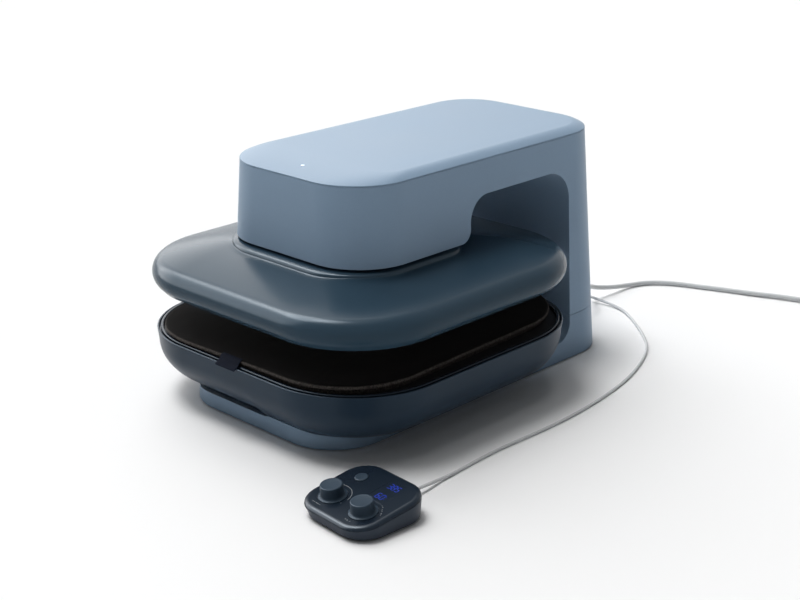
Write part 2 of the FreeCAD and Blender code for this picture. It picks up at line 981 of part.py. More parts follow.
def roll_outline(t, shrink, drop):
    inset, rise = roll(t)
    z = cover_seam_z + roll_rise * rise - drop
    half = housing_half_width - side_lean * cover_seam_z
    front = head_front_y + end_lean * cover_seam_z
    rear = rear_wall_y(cover_seam_z)
    front_radius = head_front_radius + (panel_front_radius - head_front_radius) * inset
    rear_radius = housing_rear_radius + (panel_rear_radius - housing_rear_radius) * inset
    return rounded(
        half - roll_side_inset * inset - shrink,
        front + roll_front_inset * inset + shrink,
        rear - roll_side_inset * inset - shrink,
        front_radius - shrink, rear_radius - shrink, z,
    )


def top_cover():
    outer = stack([roll_outline(step / roll_steps, 0.0, 0.0) for step in range(roll_steps + 1)])
    inner = [roll_outline(0.0, wall, wall)]
    inner += [roll_outline(step / roll_steps, wall, wall - 0.5) for step in range(roll_steps + 1)]
    hollow = stack(inner)
    shell = cut(outer, hollow)
    lip_outer = prism(roll_outline(0.0, wall + seat_clearance, 5.0), cover_seam_z + 0.5)
    lip_inner = prism(roll_outline(0.0, wall + seat_clearance + 2.0, 6.0), cover_seam_z + 1.0)
    lip = cut(lip_outer, lip_inner)
    bosses = []
    holes = []
    roof = cover_seam_z + roll_rise - wall / 2
    for x, y in cover_screw_places():
        bosses.append(post(x, y, cover_boss_z() + 0.2, roof, cover_boss_radius - 1.0))
        holes.append(post(x, y, cover_boss_z() - 1, roof - 2.0, screw_radius + running_gap))
    for x, y in ((-cover_screw_x, -40.0), (cover_screw_x, -40.0), (0.0, 300.0)):
        bosses.append(block(
            x - clip_half_width, x + clip_half_width, y - clip_half_thickness,
            y + clip_half_thickness, cover_seam_z - clip_drop, roof,
        ))
    shell = fuse(shell, lip, *bosses)
    light = post(0, light_y, cover_seam_z - 2, cover_seam_z + 2 * roll_rise, light_radius + 0.1)
    return cut(shell, light, *holes)


def light_top_z():
    """Height of the top cover over the status light, on the front roll."""
    front = head_front_y + end_lean * cover_seam_z
    inset = (light_y - front) / roll_front_inset
    angle = math.acos((1 - inset) ** (1 / roll_sharpness))
    return cover_seam_z + roll_rise * math.sin(angle) ** roll_sharpness


def status_light():
    top = light_top_z()
    lens = post(0, light_y, top - 5.0, top - 0.2, light_radius)
    collar = post(0, light_y, top - 7.0, top - 4.4, light_radius + 2.0)
    return fuse(lens, collar)


def cover_screws():
    screws = []
    seat = arm_underside_z + screw_head_height + 0.8
    for x, y in cover_screw_places():
        head = post(x, y, seat - screw_head_height, seat, screw_head_radius)
        shank = post(x, y, seat - 1.0, cover_seam_z + 1.5, screw_radius)
        screws.append(fuse(head, shank))
    return screws


def arm_frame():
    """Two steel side plates joined by a motor plate and two ties."""
    x0 = frame_plate_x
    x1 = frame_plate_x + frame_plate_thickness
    rear = hinge_y() - leaf_thickness
    floor = arm_underside_z + wall
    top_of_guide = guide_plate_z + guide_plate_thickness
    column_middle = (frame_column_y + rear) / 2
    profile = [
        (frame_front_y, top_of_guide, 0),
        (frame_head_rear_y, top_of_guide, 0),
        (frame_head_rear_y, floor, 0),
        (window_rear_radius + head_rear_y, floor, 0),
        (frame_column_y - frame_bend_radius, floor, 0),
        (frame_column_y, floor - frame_bend_radius, 0),
        (frame_column_y, seam_z + arm_lift_clear, 0),
        (rear, seam_z + arm_lift_clear, 0),
        (rear, frame_top_z, frame_bend_radius),
        (frame_front_y, frame_top_z, frame_bend_radius),
    ]
    side = extruded_side(profile, x0, x1)
    holes = []
    for step in range(4):
        z = arm_leaf_top_z + frame_hole_pitch * step
        holes.append(rod_along_x(x0 - 1, x1 + 1, column_middle, z, frame_hole_radius))
    for step in range(3):
        y = driver_front + arm_hole_pitch * step
        z = frame_top_z - 2 * frame_slot_radius
        holes.append(rod_along_x(x0 - 1, x1 + 1, y, z, frame_slot_radius))
    side = cut(side, *holes)
    motor_plate = block(
        -x0, x0, motor_plate_front_y, motor_plate_rear_y,
        motor_plate_z, motor_plate_z + motor_plate_thickness,
    )
    motor_plate = cut(motor_plate, post(
        0, 0, motor_plate_z - 1, motor_plate_z + motor_plate_thickness + 1, motor_shaft_radius + 3.0,
    ))
    thickness = tie_thickness_steel
    rear_tie = block(-x0, x0, frame_column_y, frame_column_y + thickness,
                     rear_tie_low_z, rear_tie_high_z)
    tie_top = frame_top_z - thickness
    arm_tie = block(-x0, x0, arm_tie_front_y, arm_tie_rear_y, tie_top - thickness, tie_top)
    return fuse(*(mirrored_pair(side) + [motor_plate, rear_tie, arm_tie]))


def rod_places():
    return [(x, y) for x in (-rod_x, rod_x) for y in (rod_front_y, rod_rear_y)]


def guide_plate():
    top = guide_plate_z + guide_plate_thickness
    plate = prism(rounded(
        guide_plate_half_width, guide_plate_front_y, guide_plate_rear_y, 25.0, 25.0, guide_plate_z,
    ), top)
    holes = [post(x, y, guide_plate_z - 1, top + 1, bush_radius + 0.02) for x, y in rod_places()]
    holes.append(post(0, 0, guide_plate_z - 1, top + 1, nut_radius + 2.0))
    return cut(plate, *holes)


def guide_bushes():
    top = guide_plate_z + guide_plate_thickness
    bushes = []
    for x, y in rod_places():
        sleeve = post(x, y, guide_plate_z - bush_drop, top + 1.0, bush_radius)
        flange = post(x, y, top, top + bush_flange_height, bush_flange_radius)
        bore = post(x, y, guide_plate_z - REACH / 10, top + REACH / 10, rod_radius + running_gap)
        bushes.append(cut(fuse(sleeve, flange), bore))
    return bushes


def press_motor():
    """Gear motor: gearbox with a rim, motor can and end cap."""
    base = motor_plate_z + motor_plate_thickness
    gearbox = post(0, 0, base, base + gearbox_height, gearbox_radius)
    can = post(0, 0, base + gearbox_height - 1, base + gearbox_height + motor_height, motor_radius)
    cap = post(0, 0, base + gearbox_height + motor_height - 1,
               base + gearbox_height + motor_height + 3.0, motor_radius - 8.0)
    bore = post(0, 0, base - 1, motor_shaft_top_z + 1.0, motor_shaft_radius + running_gap)
    return cut(fuse(gearbox, can, cap), bore)


def thrust_bearing():
    ring = post(0, 0, bearing_bottom_z, motor_plate_z, bearing_radius)
    return cut(ring, post(0, 0, bearing_bottom_z - 1, motor_plate_z + 1, motor_shaft_radius + 0.5))


def shaft_coupling():
    """Rigid coupling on the screw's top end, with the gearbox's output shaft in it."""
    body = post(0, 0, coupling_bottom_z, coupling_top_z, coupling_radius)
    socket = post(0, 0, coupling_bottom_z - 1, screw_top_z + 0.2, screw_shaft_radius + 0.02)
    slot = block(
        screw_shaft_radius - 1, coupling_radius + 1, -0.6, 0.6, coupling_bottom_z - 1, coupling_top_z - 4,
    )
    shaft = post(0, 0, screw_top_z + 0.2, motor_shaft_top_z, motor_shaft_radius)
    return fuse(cut(body, socket, slot), shaft)


def lead_screw():
    shaft = post(0, 0, screw_bottom_z + 1.5, screw_top_z, screw_shaft_radius)
    tip = Part.makeCone(
        screw_shaft_radius - 1.5, screw_shaft_radius, 1.5, point(0, 0, screw_bottom_z), UP,
    )
    return fuse(shaft, tip)


def control_board():
    """Driver board over the window, with its processor, connectors and a coil."""
    floor = arm_underside_z + wall
    z = floor + driver_lift + board_thickness_pcb / 2
    half = driver_half_width
    front = driver_front
    processor = block(-12, 12, front + 33, front + 57, z, z + 3.0)
    heater_relay = block(-half + 4, -half + 14, front + 20, front + 58, z, z + 9.0)
    motor_driver = block(half - 18, half - 4, front + 20, front + 36, z, z + 7.0)
    connectors = block(-30, 30, driver_rear - 9, driver_rear - 2, z, z + 8.0)
    coil = post(half - 12, front + 55, z, z + 11.0, 5.0)
    parts = [processor, heater_relay, motor_driver, connectors, coil]
    return board_with_parts(-half, half, front, driver_rear, floor, driver_lift, parts)


# Platen

def platen_outline(grow, z):
    return rounded(
        platen_half_width + grow, -platen_half_depth - grow, platen_half_depth + grow,
        platen_radius + grow, platen_radius + grow, z,
    )


def platen_form(shrink, bottom_z):
    """Flared lower edge, roll-over and a shallow dome up to the neck, shrunk evenly."""
    radius = roll_over_radius - shrink
    first = math.atan2(
        platen_edge_z + platen_flare_up - roll_over_z, platen_flare_out + roll_over_inset,
    )
    dome_start = roll_over_radius * math.cos(dome_angle()) - roll_over_inset
    profile = [(-shrink if shrink else 0.0, bottom_z)]
    for step in range(roll_over_steps + 1):
        angle = first + (dome_angle() - first) * step / roll_over_steps
        profile.append((
            radius * math.cos(angle) - roll_over_inset,
            roll_over_z + radius * math.sin(angle),
        ))
    centre_z = roll_over_z - (dome_radius - roll_over_radius) * math.sin(dome_angle())
    centre_in = -roll_over_inset - (dome_radius - roll_over_radius) * math.cos(dome_angle())
    last = math.acos((-dome_reach - centre_in) / dome_radius)
    for step in range(1, dome_steps + 1):
        angle = dome_angle() + (last - dome_angle()) * step / dome_steps
        profile.append((
            centre_in + (dome_radius - shrink) * math.cos(angle),
            centre_z + (dome_radius - shrink) * math.sin(angle),
        ))
    return stack([platen_outline(grow, z) for grow, z in profile])


def dome_angle():
    """Direction in which the roll-over hands on to the dome."""
    return math.radians(74.6)


def neck_outline(inset, z):
    return rounded(
        neck_half_width - inset, neck_front_y + inset, neck_rear_y - inset,
        neck_front_radius - inset, neck_rear_radius - inset, z,
    )


def neck_form(inset, top_z, bottom_z):
    """The raised neck with a rounded shoulder."""
    radius = neck_shoulder - inset if inset < neck_shoulder else 0.0
    outlines = [neck_outline(inset, bottom_z)]
    for step in range(5):
        angle = math.pi / 2 * step / 4
        outlines.append(neck_outline(
            inset + radius * (1 - math.cos(angle)),
            top_z - radius * (1 - math.sin(angle)),
        ))
    return stack(outlines)


def shroud_outline(grow, z):
    return rounded(
        shroud_half_width + grow, shroud_front_y - grow, shroud_rear_y + grow,
        shroud_front_radius + grow, shroud_rear_radius + grow, z,
    )


def cover_post_places():
    return [(x, y) for x in (-cover_post_x, cover_post_x) for y in (-cover_post_y, cover_post_y)]


def platen_cover():
    outer = fuse(
        platen_form(0.0, platen_edge_z),
        neck_form(0.0, neck_top_z, carrier_z + 2 * carrier_thickness),
    )
    inner = platen_form(wall, platen_edge_z - 0.01)
    neck_inner = neck_form(wall, neck_top_z - wall, carrier_z)
    hole = prism(shroud_outline(shroud_clearance, carrier_z), neck_top_z + wall)
    shell = cut(outer, inner, neck_inner, hole)
    carrier_top = carrier_z + carrier_thickness
    posts = []
    for x, y in cover_post_places():
        posts.append(post(x, y, carrier_top, neck_top_z, cover_post_radius).common(outer))
    return fuse(shell, *posts)


def neck_shroud():
    bottom = carrier_z + carrier_thickness
    tube = prism(shroud_outline(0.0, bottom), shroud_top_z)
    flange = prism(shroud_outline(shroud_flange, bottom), bottom + 2.0)
    inside = prism(shroud_outline(-shroud_wall, bottom - 1), shroud_top_z + 1)
    return cut(fuse(tube, flange), inside)


def platen_carrier():
    top = carrier_z + carrier_thickness
    plate = prism(platen_outline(carrier_inset, carrier_z), top)
    ribs = []
    for x in (-rib_x, rib_x):
        ribs.append(block(
            x - rib_width / 2, x + rib_width / 2, -rib_half_length, rib_half_length,
            top - 1.0, top + rib_height,
        ))
    windows = []
    for x in (-carrier_hole_x, carrier_hole_x):
        for y in (-carrier_hole_front_y, carrier_hole_rear_y):
            windows.append(post(x, y, carrier_z - 1, top + 1, carrier_hole_radius))
    hole = post(0, 0, carrier_z - 1, top + 1, screw_shaft_radius + 2.0)
    return cut(fuse(plate, *ribs), hole, *windows)


def drive_nut():
    bottom = carrier_z + carrier_thickness
    flange = post(0, 0, bottom, bottom + nut_flange_height, nut_flange_radius)
    barrel = post(0, 0, bottom, nut_top_z, nut_radius)
    bore = post(0, 0, bottom - 1, nut_top_z + 1, screw_shaft_radius + running_gap)
    return cut(fuse(flange, barrel), bore)


def guide_rods():
    bottom = carrier_z + carrier_thickness
    return [post(x, y, bottom, rod_top_z, rod_radius) for x, y in rod_places()]


def plate_bottom_z():
    return mat_top_z + press_gap + press_travel


def plate_top_z():
    return plate_bottom_z() + plate_thickness


def heat_plate():
    half = plate_half_side
    lower = rounded(half - 1, 1 - half, half - 1, plate_corner_radius - 1, plate_corner_radius - 1,
                    plate_bottom_z())
    side = rounded(half, -half, half, plate_corner_radius, plate_corner_radius, plate_bottom_z() + 1.0)
    top = rounded(half, -half, half, plate_corner_radius, plate_corner_radius, plate_top_z())
    return stack([lower, side, top])


def spacer_places():
    reach = spacer_reach
    places = [(x, y) for x in (-reach, 0.0, reach) for y in (-reach, 0.0, reach)]
    return [place for place in places if place != (0.0, 0.0)]


def plate_spacers():
    spacers = []
    for x, y in spacer_places():
        foot = post(x, y, plate_top_z(), board_z, spacer_foot_radius)
        stem = post(x, y, plate_top_z(), carrier_z, spacer_radius)
        spacers.append(fuse(foot, stem))
    return spacers


def insulation_board():
    top = board_z + board_thickness
    board = prism(rounded(
        plate_half_side - 8, 8 - plate_half_side, plate_half_side - 8,
        plate_corner_radius - 8, plate_corner_radius - 8, board_z,
    ), top)
    holes = [post(x, y, board_z - 1, top + 1, spacer_radius + 0.3) for x, y in spacer_places()]
    holes.append(post(0, 0, board_z - 1, top + 1, screw_shaft_radius + 4.0))
    return cut(board, *holes)


def ring_tube(half, radius, z, tube_radius):
    """A round tube bent into a closed rounded square."""
    path = rounded(half, -half, half, radius, radius, z)
    start = path.Vertexes[0].Point
    profile = Part.Wire([Part.makeCircle(tube_radius, start, ACROSS)])
    return path.makePipeShell([profile], True, False)


def heating_element():
    z = plate_top_z() + element_radius
    return [
        ring_tube(element_outer_half, element_outer_radius, z, element_radius),
        ring_tube(element_inner_half, element_inner_radius, z, element_radius),
    ]


def temperature_sensor():
    """A flat brass clip on the plate with the sensing bulb along it."""
    z = plate_top_z()
    clip = block(
        sensor_x, sensor_x + sensor_length, sensor_y - sensor_half_width,
        sensor_y + sensor_half_width, z, z + sensor_thickness,
    )
    bulb = rod_along_x(
        sensor_x + 3.0, sensor_x + sensor_length - 3.0, sensor_y, z + sensor_bulb_radius,
        sensor_bulb_radius,
    )
    return fuse(clip, bulb)


# Control pod. Its own frame has the origin at its centre on the table.

def on_pod(solid):
    """Turn and move a pod piece from the pod's own frame to its place."""
    placed = solid.copy()
    placed.rotate(point(0, 0, 0), UP, pod_turn)
    placed.translate(point(pod_x, pod_y, 0))
    return placed


def tilted(solid):
    """Move a piece made on a level top to the pod's sloped top."""
    placed = solid.copy()
    placed.rotate(point(0, 0, 0), ACROSS, pod_slope)
    placed.translate(point(0, 0, pod_height))
    return placed


def pod_outline(z, inset):
    below = (pod_height - z) * pod_side_lean
    shift = pod_bottom_shift * (pod_height - z) / pod_height
    return rounded(
        pod_half_width - below - inset,
        shift - pod_half_depth + below + inset,
        shift + pod_half_depth - below - inset,
        pod_radius - inset, pod_radius - inset, z,
    )


def pod_wedge(inset, bottom_z, drop):
    """The pod's form up to its sloped top, lowered by drop."""
    high = pod_height + 20.0
    form = stack([pod_outline(bottom_z, inset), pod_outline(high, inset)])
    size = 4 * pod_half_width
    cutter = tilted(block(-size, size, -size, size, -drop, size))
    return cut(form, cutter)


def face_outline(inset, z):
    half_x = pod_half_width - inset
    half_y = pod_half_depth / math.cos(math.radians(pod_slope)) - inset
    return rounded(half_x, -half_y, half_y, pod_radius - inset, pod_radius - inset, z)


def pod_shell():
    outer = pod_wedge(0.0, pod_floor_gap, 0.0)
    inner = pod_wedge(pod_wall, pod_floor_gap - 1.0, pod_wall)
    seat = tilted(prism(face_outline(face_inset + 3.0, -pod_wall - 1), 1.0))
    shell = cut(outer, inner, seat)
    boss_bottom = pod_floor_gap + pod_wall + 0.1
    bosses = []
    holes = []
    legs = []
    for x, y in pod_screw_places():
        top = pod_boss_top(y)
        bosses.append(post(x, y, boss_bottom, top, pod_boss_radius))
        holes.append(post(x, y, pod_floor_gap, top - 2.0, pod_screw_radius + running_gap))
        outward = math.copysign(2 * pod_boss_radius, x)
        x0, x1 = sorted((x, x + outward))
        web = block(x0, x1, y - 1.0, y + 1.0, boss_bottom, top)
        legs.append(web.common(pod_wedge(pod_wall / 2, pod_floor_gap, pod_wall)))
    shell = fuse(shell, *(bosses + legs))
    relief_hole = Part.makeCylinder(
        pod_relief_radius - 1.0, 4 * pod_wall,
        point(pod_relief_x, pod_rear_y() - 3 * pod_wall, pod_relief_z), BACK,
    )
    return cut(shell, relief_hole, *holes)


def pod_rear_y():
    """Rear wall of the pod at the height of its cord."""
    share = (pod_height - pod_relief_z)
    return pod_bottom_shift * share / pod_height + pod_half_depth - share * pod_side_lean


def pod_screw_places():
    return [
        (x, y) for x in (-pod_screw_x, pod_screw_x)
        for y in (pod_screw_front_y, pod_screw_rear_y)
    ]


def pod_boss_top(y):
    return pod_height + y * math.tan(math.radians(pod_slope)) - pod_wall - pod_board_depth + 2.0


def pod_face():
    """The raised top plate, with its round edge and its openings."""
    bottom = face_rise - face_thickness
    plug = prism(face_outline(face_inset + 3.3, bottom - 0.5), 0.2)
    outlines = [face_outline(face_inset + 0.6, 0.05), face_outline(face_inset, 0.7)]
    for step in range(1, 4):
        angle = math.pi / 2 * step / 3
        edge = 0.8
        outlines.append(face_outline(
            face_inset + edge * (1 - math.cos(angle)), face_rise - edge * (1 - math.sin(angle)),
        ))
    plate = fuse(plug, stack(outlines))
    tools = []
    for x in (-dial_x, dial_x):
        tools.append(post(x, dial_y, bottom - 2, face_rise + 1, dial_shaft_radius + 0.6))
        tools.append(post(x, dial_y, face_rise - 1.0, face_rise + 1, dial_skirt_radius + 1.0))
    tools.append(post(button_x, button_y, bottom - 2, face_rise + 1, button_radius + 0.25))
    gap = display_clearance
    tools.append(block(
        display_x - display_half_width - gap, display_x + display_half_width + gap,
        display_y - display_half_depth - gap, display_y + display_half_depth + gap,
        bottom - 2, face_rise + 1,
    ))
    return tilted(cut(plate, *tools))


def pod_base():
    bottom = pod_floor_gap
    top = pod_floor_gap + pod_wall
    plate = prism(pod_outline(bottom, pod_wall + 0.2), top)
    holes = []
    for x, y in pod_screw_places():
        holes.append(post(x, y, bottom - 1, top + 1, pod_screw_radius + 0.2))
    return cut(plate, *holes)


def pod_feet():
    feet = []
    for x in (-pod_foot_x, pod_foot_x):
        for y in (pod_screw_front_y, pod_screw_rear_y + 2.0):
            feet.append(post(x, y, 0.0, pod_floor_gap, pod_foot_radius))
    return feet


def pod_screws():
    screws = []
    for x, y in pod_screw_places():
        head = post(x, y, pod_floor_gap - 1.3, pod_floor_gap, pod_screw_head_radius)
        tip_z = pod_floor_gap + pod_wall + pod_screw_reach
        shank = post(x, y, pod_floor_gap - 1.0, tip_z, pod_screw_radius)
        screws.append(fuse(head, shank))
    return screws


def pod_display():
    bottom = face_rise - face_thickness
    window = block(
        display_x - display_half_width, display_x + display_half_width,
        display_y - display_half_depth, display_y + display_half_depth,
        bottom - 1.0, face_rise - 0.1,
    )
    stand = block(
        display_x - 8, display_x + 8, display_y - 12, display_y + 12,
        pod_board_thickness - pod_board_depth, bottom,
    )
    return tilted(fuse(window, stand))


def pod_board():
    z = -pod_board_depth
    board = prism(rounded(43.0, -38.0, 42.0, 16.0, 16.0, z), z + pod_board_thickness)
    chip = block(-8, 6, -6, 8, z + 1.0, z + 3.0)
    connector = block(-7, 7, 30, 38, z + 1.0, z + 6.0)
    notches = []
    for x, y in pod_screw_places():
        notches.append(post(x, y, z - 2, z + 4, pod_boss_radius + 1.8))
    return tilted(cut(fuse(board, chip, connector), *notches))


def encoder_top():
    return face_rise - face_thickness - 0.8


def dial_encoders():
    bottom = pod_board_thickness - pod_board_depth
    encoders = []
    for x in (-dial_x, dial_x):
        can = block(
            x - encoder_half, x + encoder_half, dial_y - encoder_half, dial_y + encoder_half,
            bottom, encoder_top(),
        )
        bore = post(x, dial_y, bottom + 1.5, encoder_top() + 1, dial_shaft_radius + running_gap)
        encoders.append(tilted(cut(can, bore)))
    return encoders


def dial(x):
    """A round cap with a slightly hollowed top, on a flared skirt and a shaft."""
    foot = face_rise - 1.0 + dial_gap
    top = face_rise + dial_height
    skirt = dial_skirt_height
    outline = [
        (0.0, foot), (dial_skirt_radius - 0.4, foot), (dial_skirt_radius, foot + 0.6),
        (dial_radius + 1.2, foot + skirt), (dial_radius + 0.3, foot + skirt + 1.6),
        (dial_radius - 0.2, top - 1.0), (dial_radius - 1.2, top), (0.0, top),
    ]
    edges = []
    for index in range(len(outline)):
        r0, z0 = outline[index]
        r1, z1 = outline[(index + 1) % len(outline)]
        edges.append(Part.LineSegment(point(r0, 0, z0), point(r1, 0, z1)).toShape())
    cap = Part.Face(Part.Wire(edges)).revolve(point(0, 0, 0), UP, 360)
    shaft_bottom = pod_board_thickness - pod_board_depth + 1.8
    shaft = post(0, 0, shaft_bottom, foot + 1.0, dial_shaft_radius)
    whole = fuse(cap, shaft)
    whole.translate(point(x, dial_y, 0))
    return tilted(whole)


def power_button():
    top = face_rise + button_rise
    bottom = face_rise - face_thickness
    cap = post(button_x, button_y, bottom, top - 0.8, button_radius)
    crown = Part.makeCone(
        button_radius, button_radius - 1.2, 0.8, point(button_x, button_y, top - 0.8), UP,
    )
    stem_bottom = switch_top() + button_travel + running_gap
    stem = post(button_x, button_y, stem_bottom, bottom + 1.0, button_stem_radius)
    return tilted(fuse(cap, crown, stem))


def switch_top():
    return pod_board_thickness - pod_board_depth + switch_height


def button_switch():
    bottom = pod_board_thickness - pod_board_depth
    half = switch_half
    body = block(
        button_x - half, button_x + half, button_y - half, button_y + half, bottom, switch_top(),
    )
    return tilted(body)


def pod_cord_relief():
    y = pod_rear_y()
    seat = pod_relief_radius * (pod_bottom_shift / pod_height + pod_side_lean) + running_gap
    tail = Part.makeCone(
        pod_relief_radius, pod_relief_tip_radius, pod_relief_length - seat,
        point(pod_relief_x, y + seat, pod_relief_z), BACK,
    )
    neck = Part.makeCylinder(
        pod_relief_radius - 1.2, pod_wall + 2.0 + seat,
        point(pod_relief_x, y - pod_wall - 1.5, pod_relief_z), BACK,
    )
    flange = Part.makeCylinder(
        pod_relief_radius, 1.2, point(pod_relief_x, y - pod_wall - 1.7, pod_relief_z), BACK,
    )
    return fuse(tail, neck, flange)


# Cords

def bent_path(points, name, diameter):
    """Straight runs joined by tangent arcs, each as large as its two runs allow."""
    edges = []
    radii = []
    place = points[0]
    for index in range(1, len(points) - 1):
        corner = points[index]
        back = points[index - 1] - corner
        ahead = points[index + 1] - corner
        shorter = min(back.Length, ahead.Length)
        back.normalize()
        ahead.normalize()
        turn = math.pi - back.getAngle(ahead)
        reach = 0.45 * shorter
        radius = reach / math.tan(turn / 2)
        radii.append(radius)
        middle_direction = (back + ahead).normalize()
        sagitta = radius / math.cos(turn / 2) - radius
        first = corner + back * reach
        last = corner + ahead * reach
        edges.append(Part.LineSegment(place, first).toShape())
        edges.append(Part.Arc(first, corner + middle_direction * sagitta, last).toShape())
        place = last
    edges.append(Part.LineSegment(place, points[-1]).toShape())
    wire = Part.Wire(edges)
    least = min(radii)
    print(name, "least radius %.1f = %.1f diameters" % (least, least / diameter))
    print(name, "radii", " ".join("%.0f" % radius for radius in radii))
    return wire


def tube(path, diameter, start, direction, name):
    profile = Part.Wire([Part.makeCircle(diameter / 2, start, direction)])
    solid = path.makePipeShell([profile], True, False)
    expected = math.pi * diameter ** 2 / 4 * path.Length
    print(name, "length %.0f, volume over section times length %.4f" % (
        path.Length, solid.Volume / expected))
    return solid


def power_cord_start():
    return point(power_exit_x, rear_wall_y(exit_z) + power_relief_length, exit_z)


def power_points():
    points = [point(*place) for place in power_route]
    points[0] = power_cord_start()
    return points


def power_cord():
    points = power_points()
    path = bent_path(points, "power cord", power_cord_diameter)
    return tube(path, power_cord_diameter, points[0], points[1] - points[0], "power cord")


def coil_line():
    """Edges of the coil: a lead, a spiral in, a climbing half turn, a spiral out, a tail."""
    points = power_points()
    start = points[-1]
    heading = (points[-1] - points[-2]).normalize()
    edges = []
    place = start + heading * coil_lead
    edges.append(Part.LineSegment(start, place).toShape())
    radius = coil_outer_radius
    quarter = math.pi / 2
    step = coil_pitch / 4

    def turn(place, heading, radius, angle):
        centre = place + UP.cross(heading) * radius
        arm = place - centre

        def turned(vector, amount):
            side = UP.cross(vector)
            return vector * math.cos(amount) + side * math.sin(amount)

        middle = centre + turned(arm, angle / 2)
        end = centre + turned(arm, angle)
        edges.append(Part.Arc(place, middle, end).toShape())
        return end, turned(heading, angle)

    for index in range(coil_first_quarters):
        place, heading = turn(place, heading, radius, quarter)
        radius -= step
    radius -= coil_climb_step
    left = UP.cross(heading)
    centre = place + left * radius
    reach = math.sqrt(radius ** 2 + (layer_rise / 2) ** 2)
    middle = centre + heading * reach + UP * (layer_rise / 2)
    far = centre + left * radius + UP * layer_rise
    edges.append(tangent_arc(place, heading, middle))
    edges.append(tangent_arc(far, heading, middle, True))
    place = far
    heading = heading * -1
    radius += coil_climb_step
    for index in range(coil_second_quarters):
        place, heading = turn(place, heading, radius, quarter)
        radius += step
    end = place + heading * coil_tail
    edges.append(Part.LineSegment(place, end).toShape())
    return edges, start, end, heading


def tangent_arc(start, direction, end, reverse=False):
    """The arc that leaves start along direction and ends at end."""
    chord = end - start
    along = direction.normalize()
    chord_length = chord.Length
    unit = chord / chord_length
    angle = along.getAngle(chord)
    sagitta = chord_length / 2 * math.tan(angle / 2)
    normal = along - unit * along.dot(unit)
    normal = normal.normalize()
    middle = start + chord * 0.5 + normal * sagitta
    if reverse:
        return Part.Arc(end, middle, start).toShape()
    return Part.Arc(start, middle, end).toShape()


def power_cord_coil():
    edges, start, end, heading = coil_line()
    path = Part.Wire(edges)
    solid = tube(path, power_cord_diameter, start, edges[0].tangentAt(edges[0].FirstParameter), "coil")
    samples = path.discretize(Distance=2.0)
    least = None
    apart = int(power_cord_diameter * 2)
    for index in range(len(samples)):
        for other in range(index + apart, len(samples)):
            distance = samples[index].distanceToPoint(samples[other])
            if least is None or distance < least:
                least = distance
    print("coil least gap to itself %.2f" % (least - power_cord_diameter))
    turns = (coil_first_quarters + coil_second_quarters + 2) / 4
    print("coil turns %.2f, inner radius %.1f" % (
        turns, coil_outer_radius - coil_pitch / 4 * (coil_first_quarters - 1) - coil_climb_step))
    return solid


def coil_centre():
    """Centre of the first quarter turn."""
    points = power_points()
    heading = (points[-1] - points[-2]).normalize()
    place = points[-1] + heading * coil_lead
    centre = place + UP.cross(heading) * coil_outer_radius
    return point(centre.x, centre.y, 0), heading


def cord_tie():
    """A flat band round every turn, across the bundle on one side of the coil."""
    centre, heading = coil_centre()
    angle = math.atan2(heading.y, heading.x) + math.radians(tie_angle)
    along = point(math.cos(angle), math.sin(angle), 0)
    radius = power_cord_diameter / 2
    reaches = []
    for place in Part.Wire(coil_line()[0]).discretize(Distance=1.0):
        arm = point(place.x, place.y, 0) - centre
        if arm.dot(along) > 0 and abs(arm.dot(UP.cross(along))) < tie_width / 2:
            reaches.append(arm.dot(along))
    inner_edge = min(reaches) - radius - tie_clearance
    outer_edge = max(reaches) + radius + tie_clearance
    low = cord_lift - tie_clearance
    high = cord_lift + power_cord_diameter + layer_rise + tie_clearance
    half = tie_width / 2
    outer = block(-half, half, inner_edge - tie_thickness, outer_edge + tie_thickness,
                  low - tie_thickness, high + tie_thickness)
    hollow = block(-half - 1, half + 1, inner_edge, outer_edge, low, high)
    band = cut(outer, hollow)
    band.rotate(point(0, 0, 0), UP, math.degrees(angle) - 90.0)
    band.translate(point(centre.x, centre.y, 0))
    return band


def power_plug():
    edges, start, end, heading = coil_line()
    turn = math.degrees(math.atan2(heading.y, heading.x)) - 90.0
    relief = Part.makeCone(
        plug_relief_radius, plug_relief_radius + 3.0, plug_relief_length, point(0, 0, 0), BACK,
    )
    whole = fuse(relief, plug_body())
    whole.rotate(point(0, 0, 0), UP, turn)
    whole.translate(end)
    return whole


def plug_body():
    """A moulded grip that widens to the contact face, made along Y from the relief."""
    outlines = []
    for share, narrower, lower in plug_sections:
        y = plug_relief_length - plug_overlap + plug_length * share
        half_width = plug_half_width - narrower
        half_height = plug_half_height - lower
        outlines.append(rounded(
            half_width, -half_height, half_height, plug_corner_radius, plug_corner_radius, y,
        ))
    solid = stack(outlines)
    solid.rotate(point(0, 0, 0), ACROSS, -90)
    return solid


def plug_blades():
    edges, start, end, heading = coil_line()
    turn = math.degrees(math.atan2(heading.y, heading.x)) - 90.0
    face = plug_relief_length - plug_overlap + plug_length
    pieces = []
    for x in (-blade_gap, blade_gap):
        pieces.append(block(
            x - blade_half_thickness, x + blade_half_thickness, face, face + blade_length,
            blade_lift - blade_half_height, blade_lift + blade_half_height,
        ))
    pieces.append(Part.makeCylinder(
        earth_pin_radius, blade_length + 3.0, point(0, face, -earth_pin_drop), BACK,
    ))
    for piece in pieces:
        piece.rotate(point(0, 0, 0), UP, turn)
        piece.translate(end)
    return pieces


def pod_cord_end():
    """Where the pod's relief hands the cord over, and the way it points."""
    turn = math.radians(pod_turn)
    x = pod_relief_x
    y = pod_rear_y() + pod_relief_length
    end = point(
        pod_x + x * math.cos(turn) - y * math.sin(turn),
        pod_y + x * math.sin(turn) + y * math.cos(turn),
        pod_relief_z,
    )
    outward = point(-math.sin(turn), math.cos(turn), 0)
    return end, outward


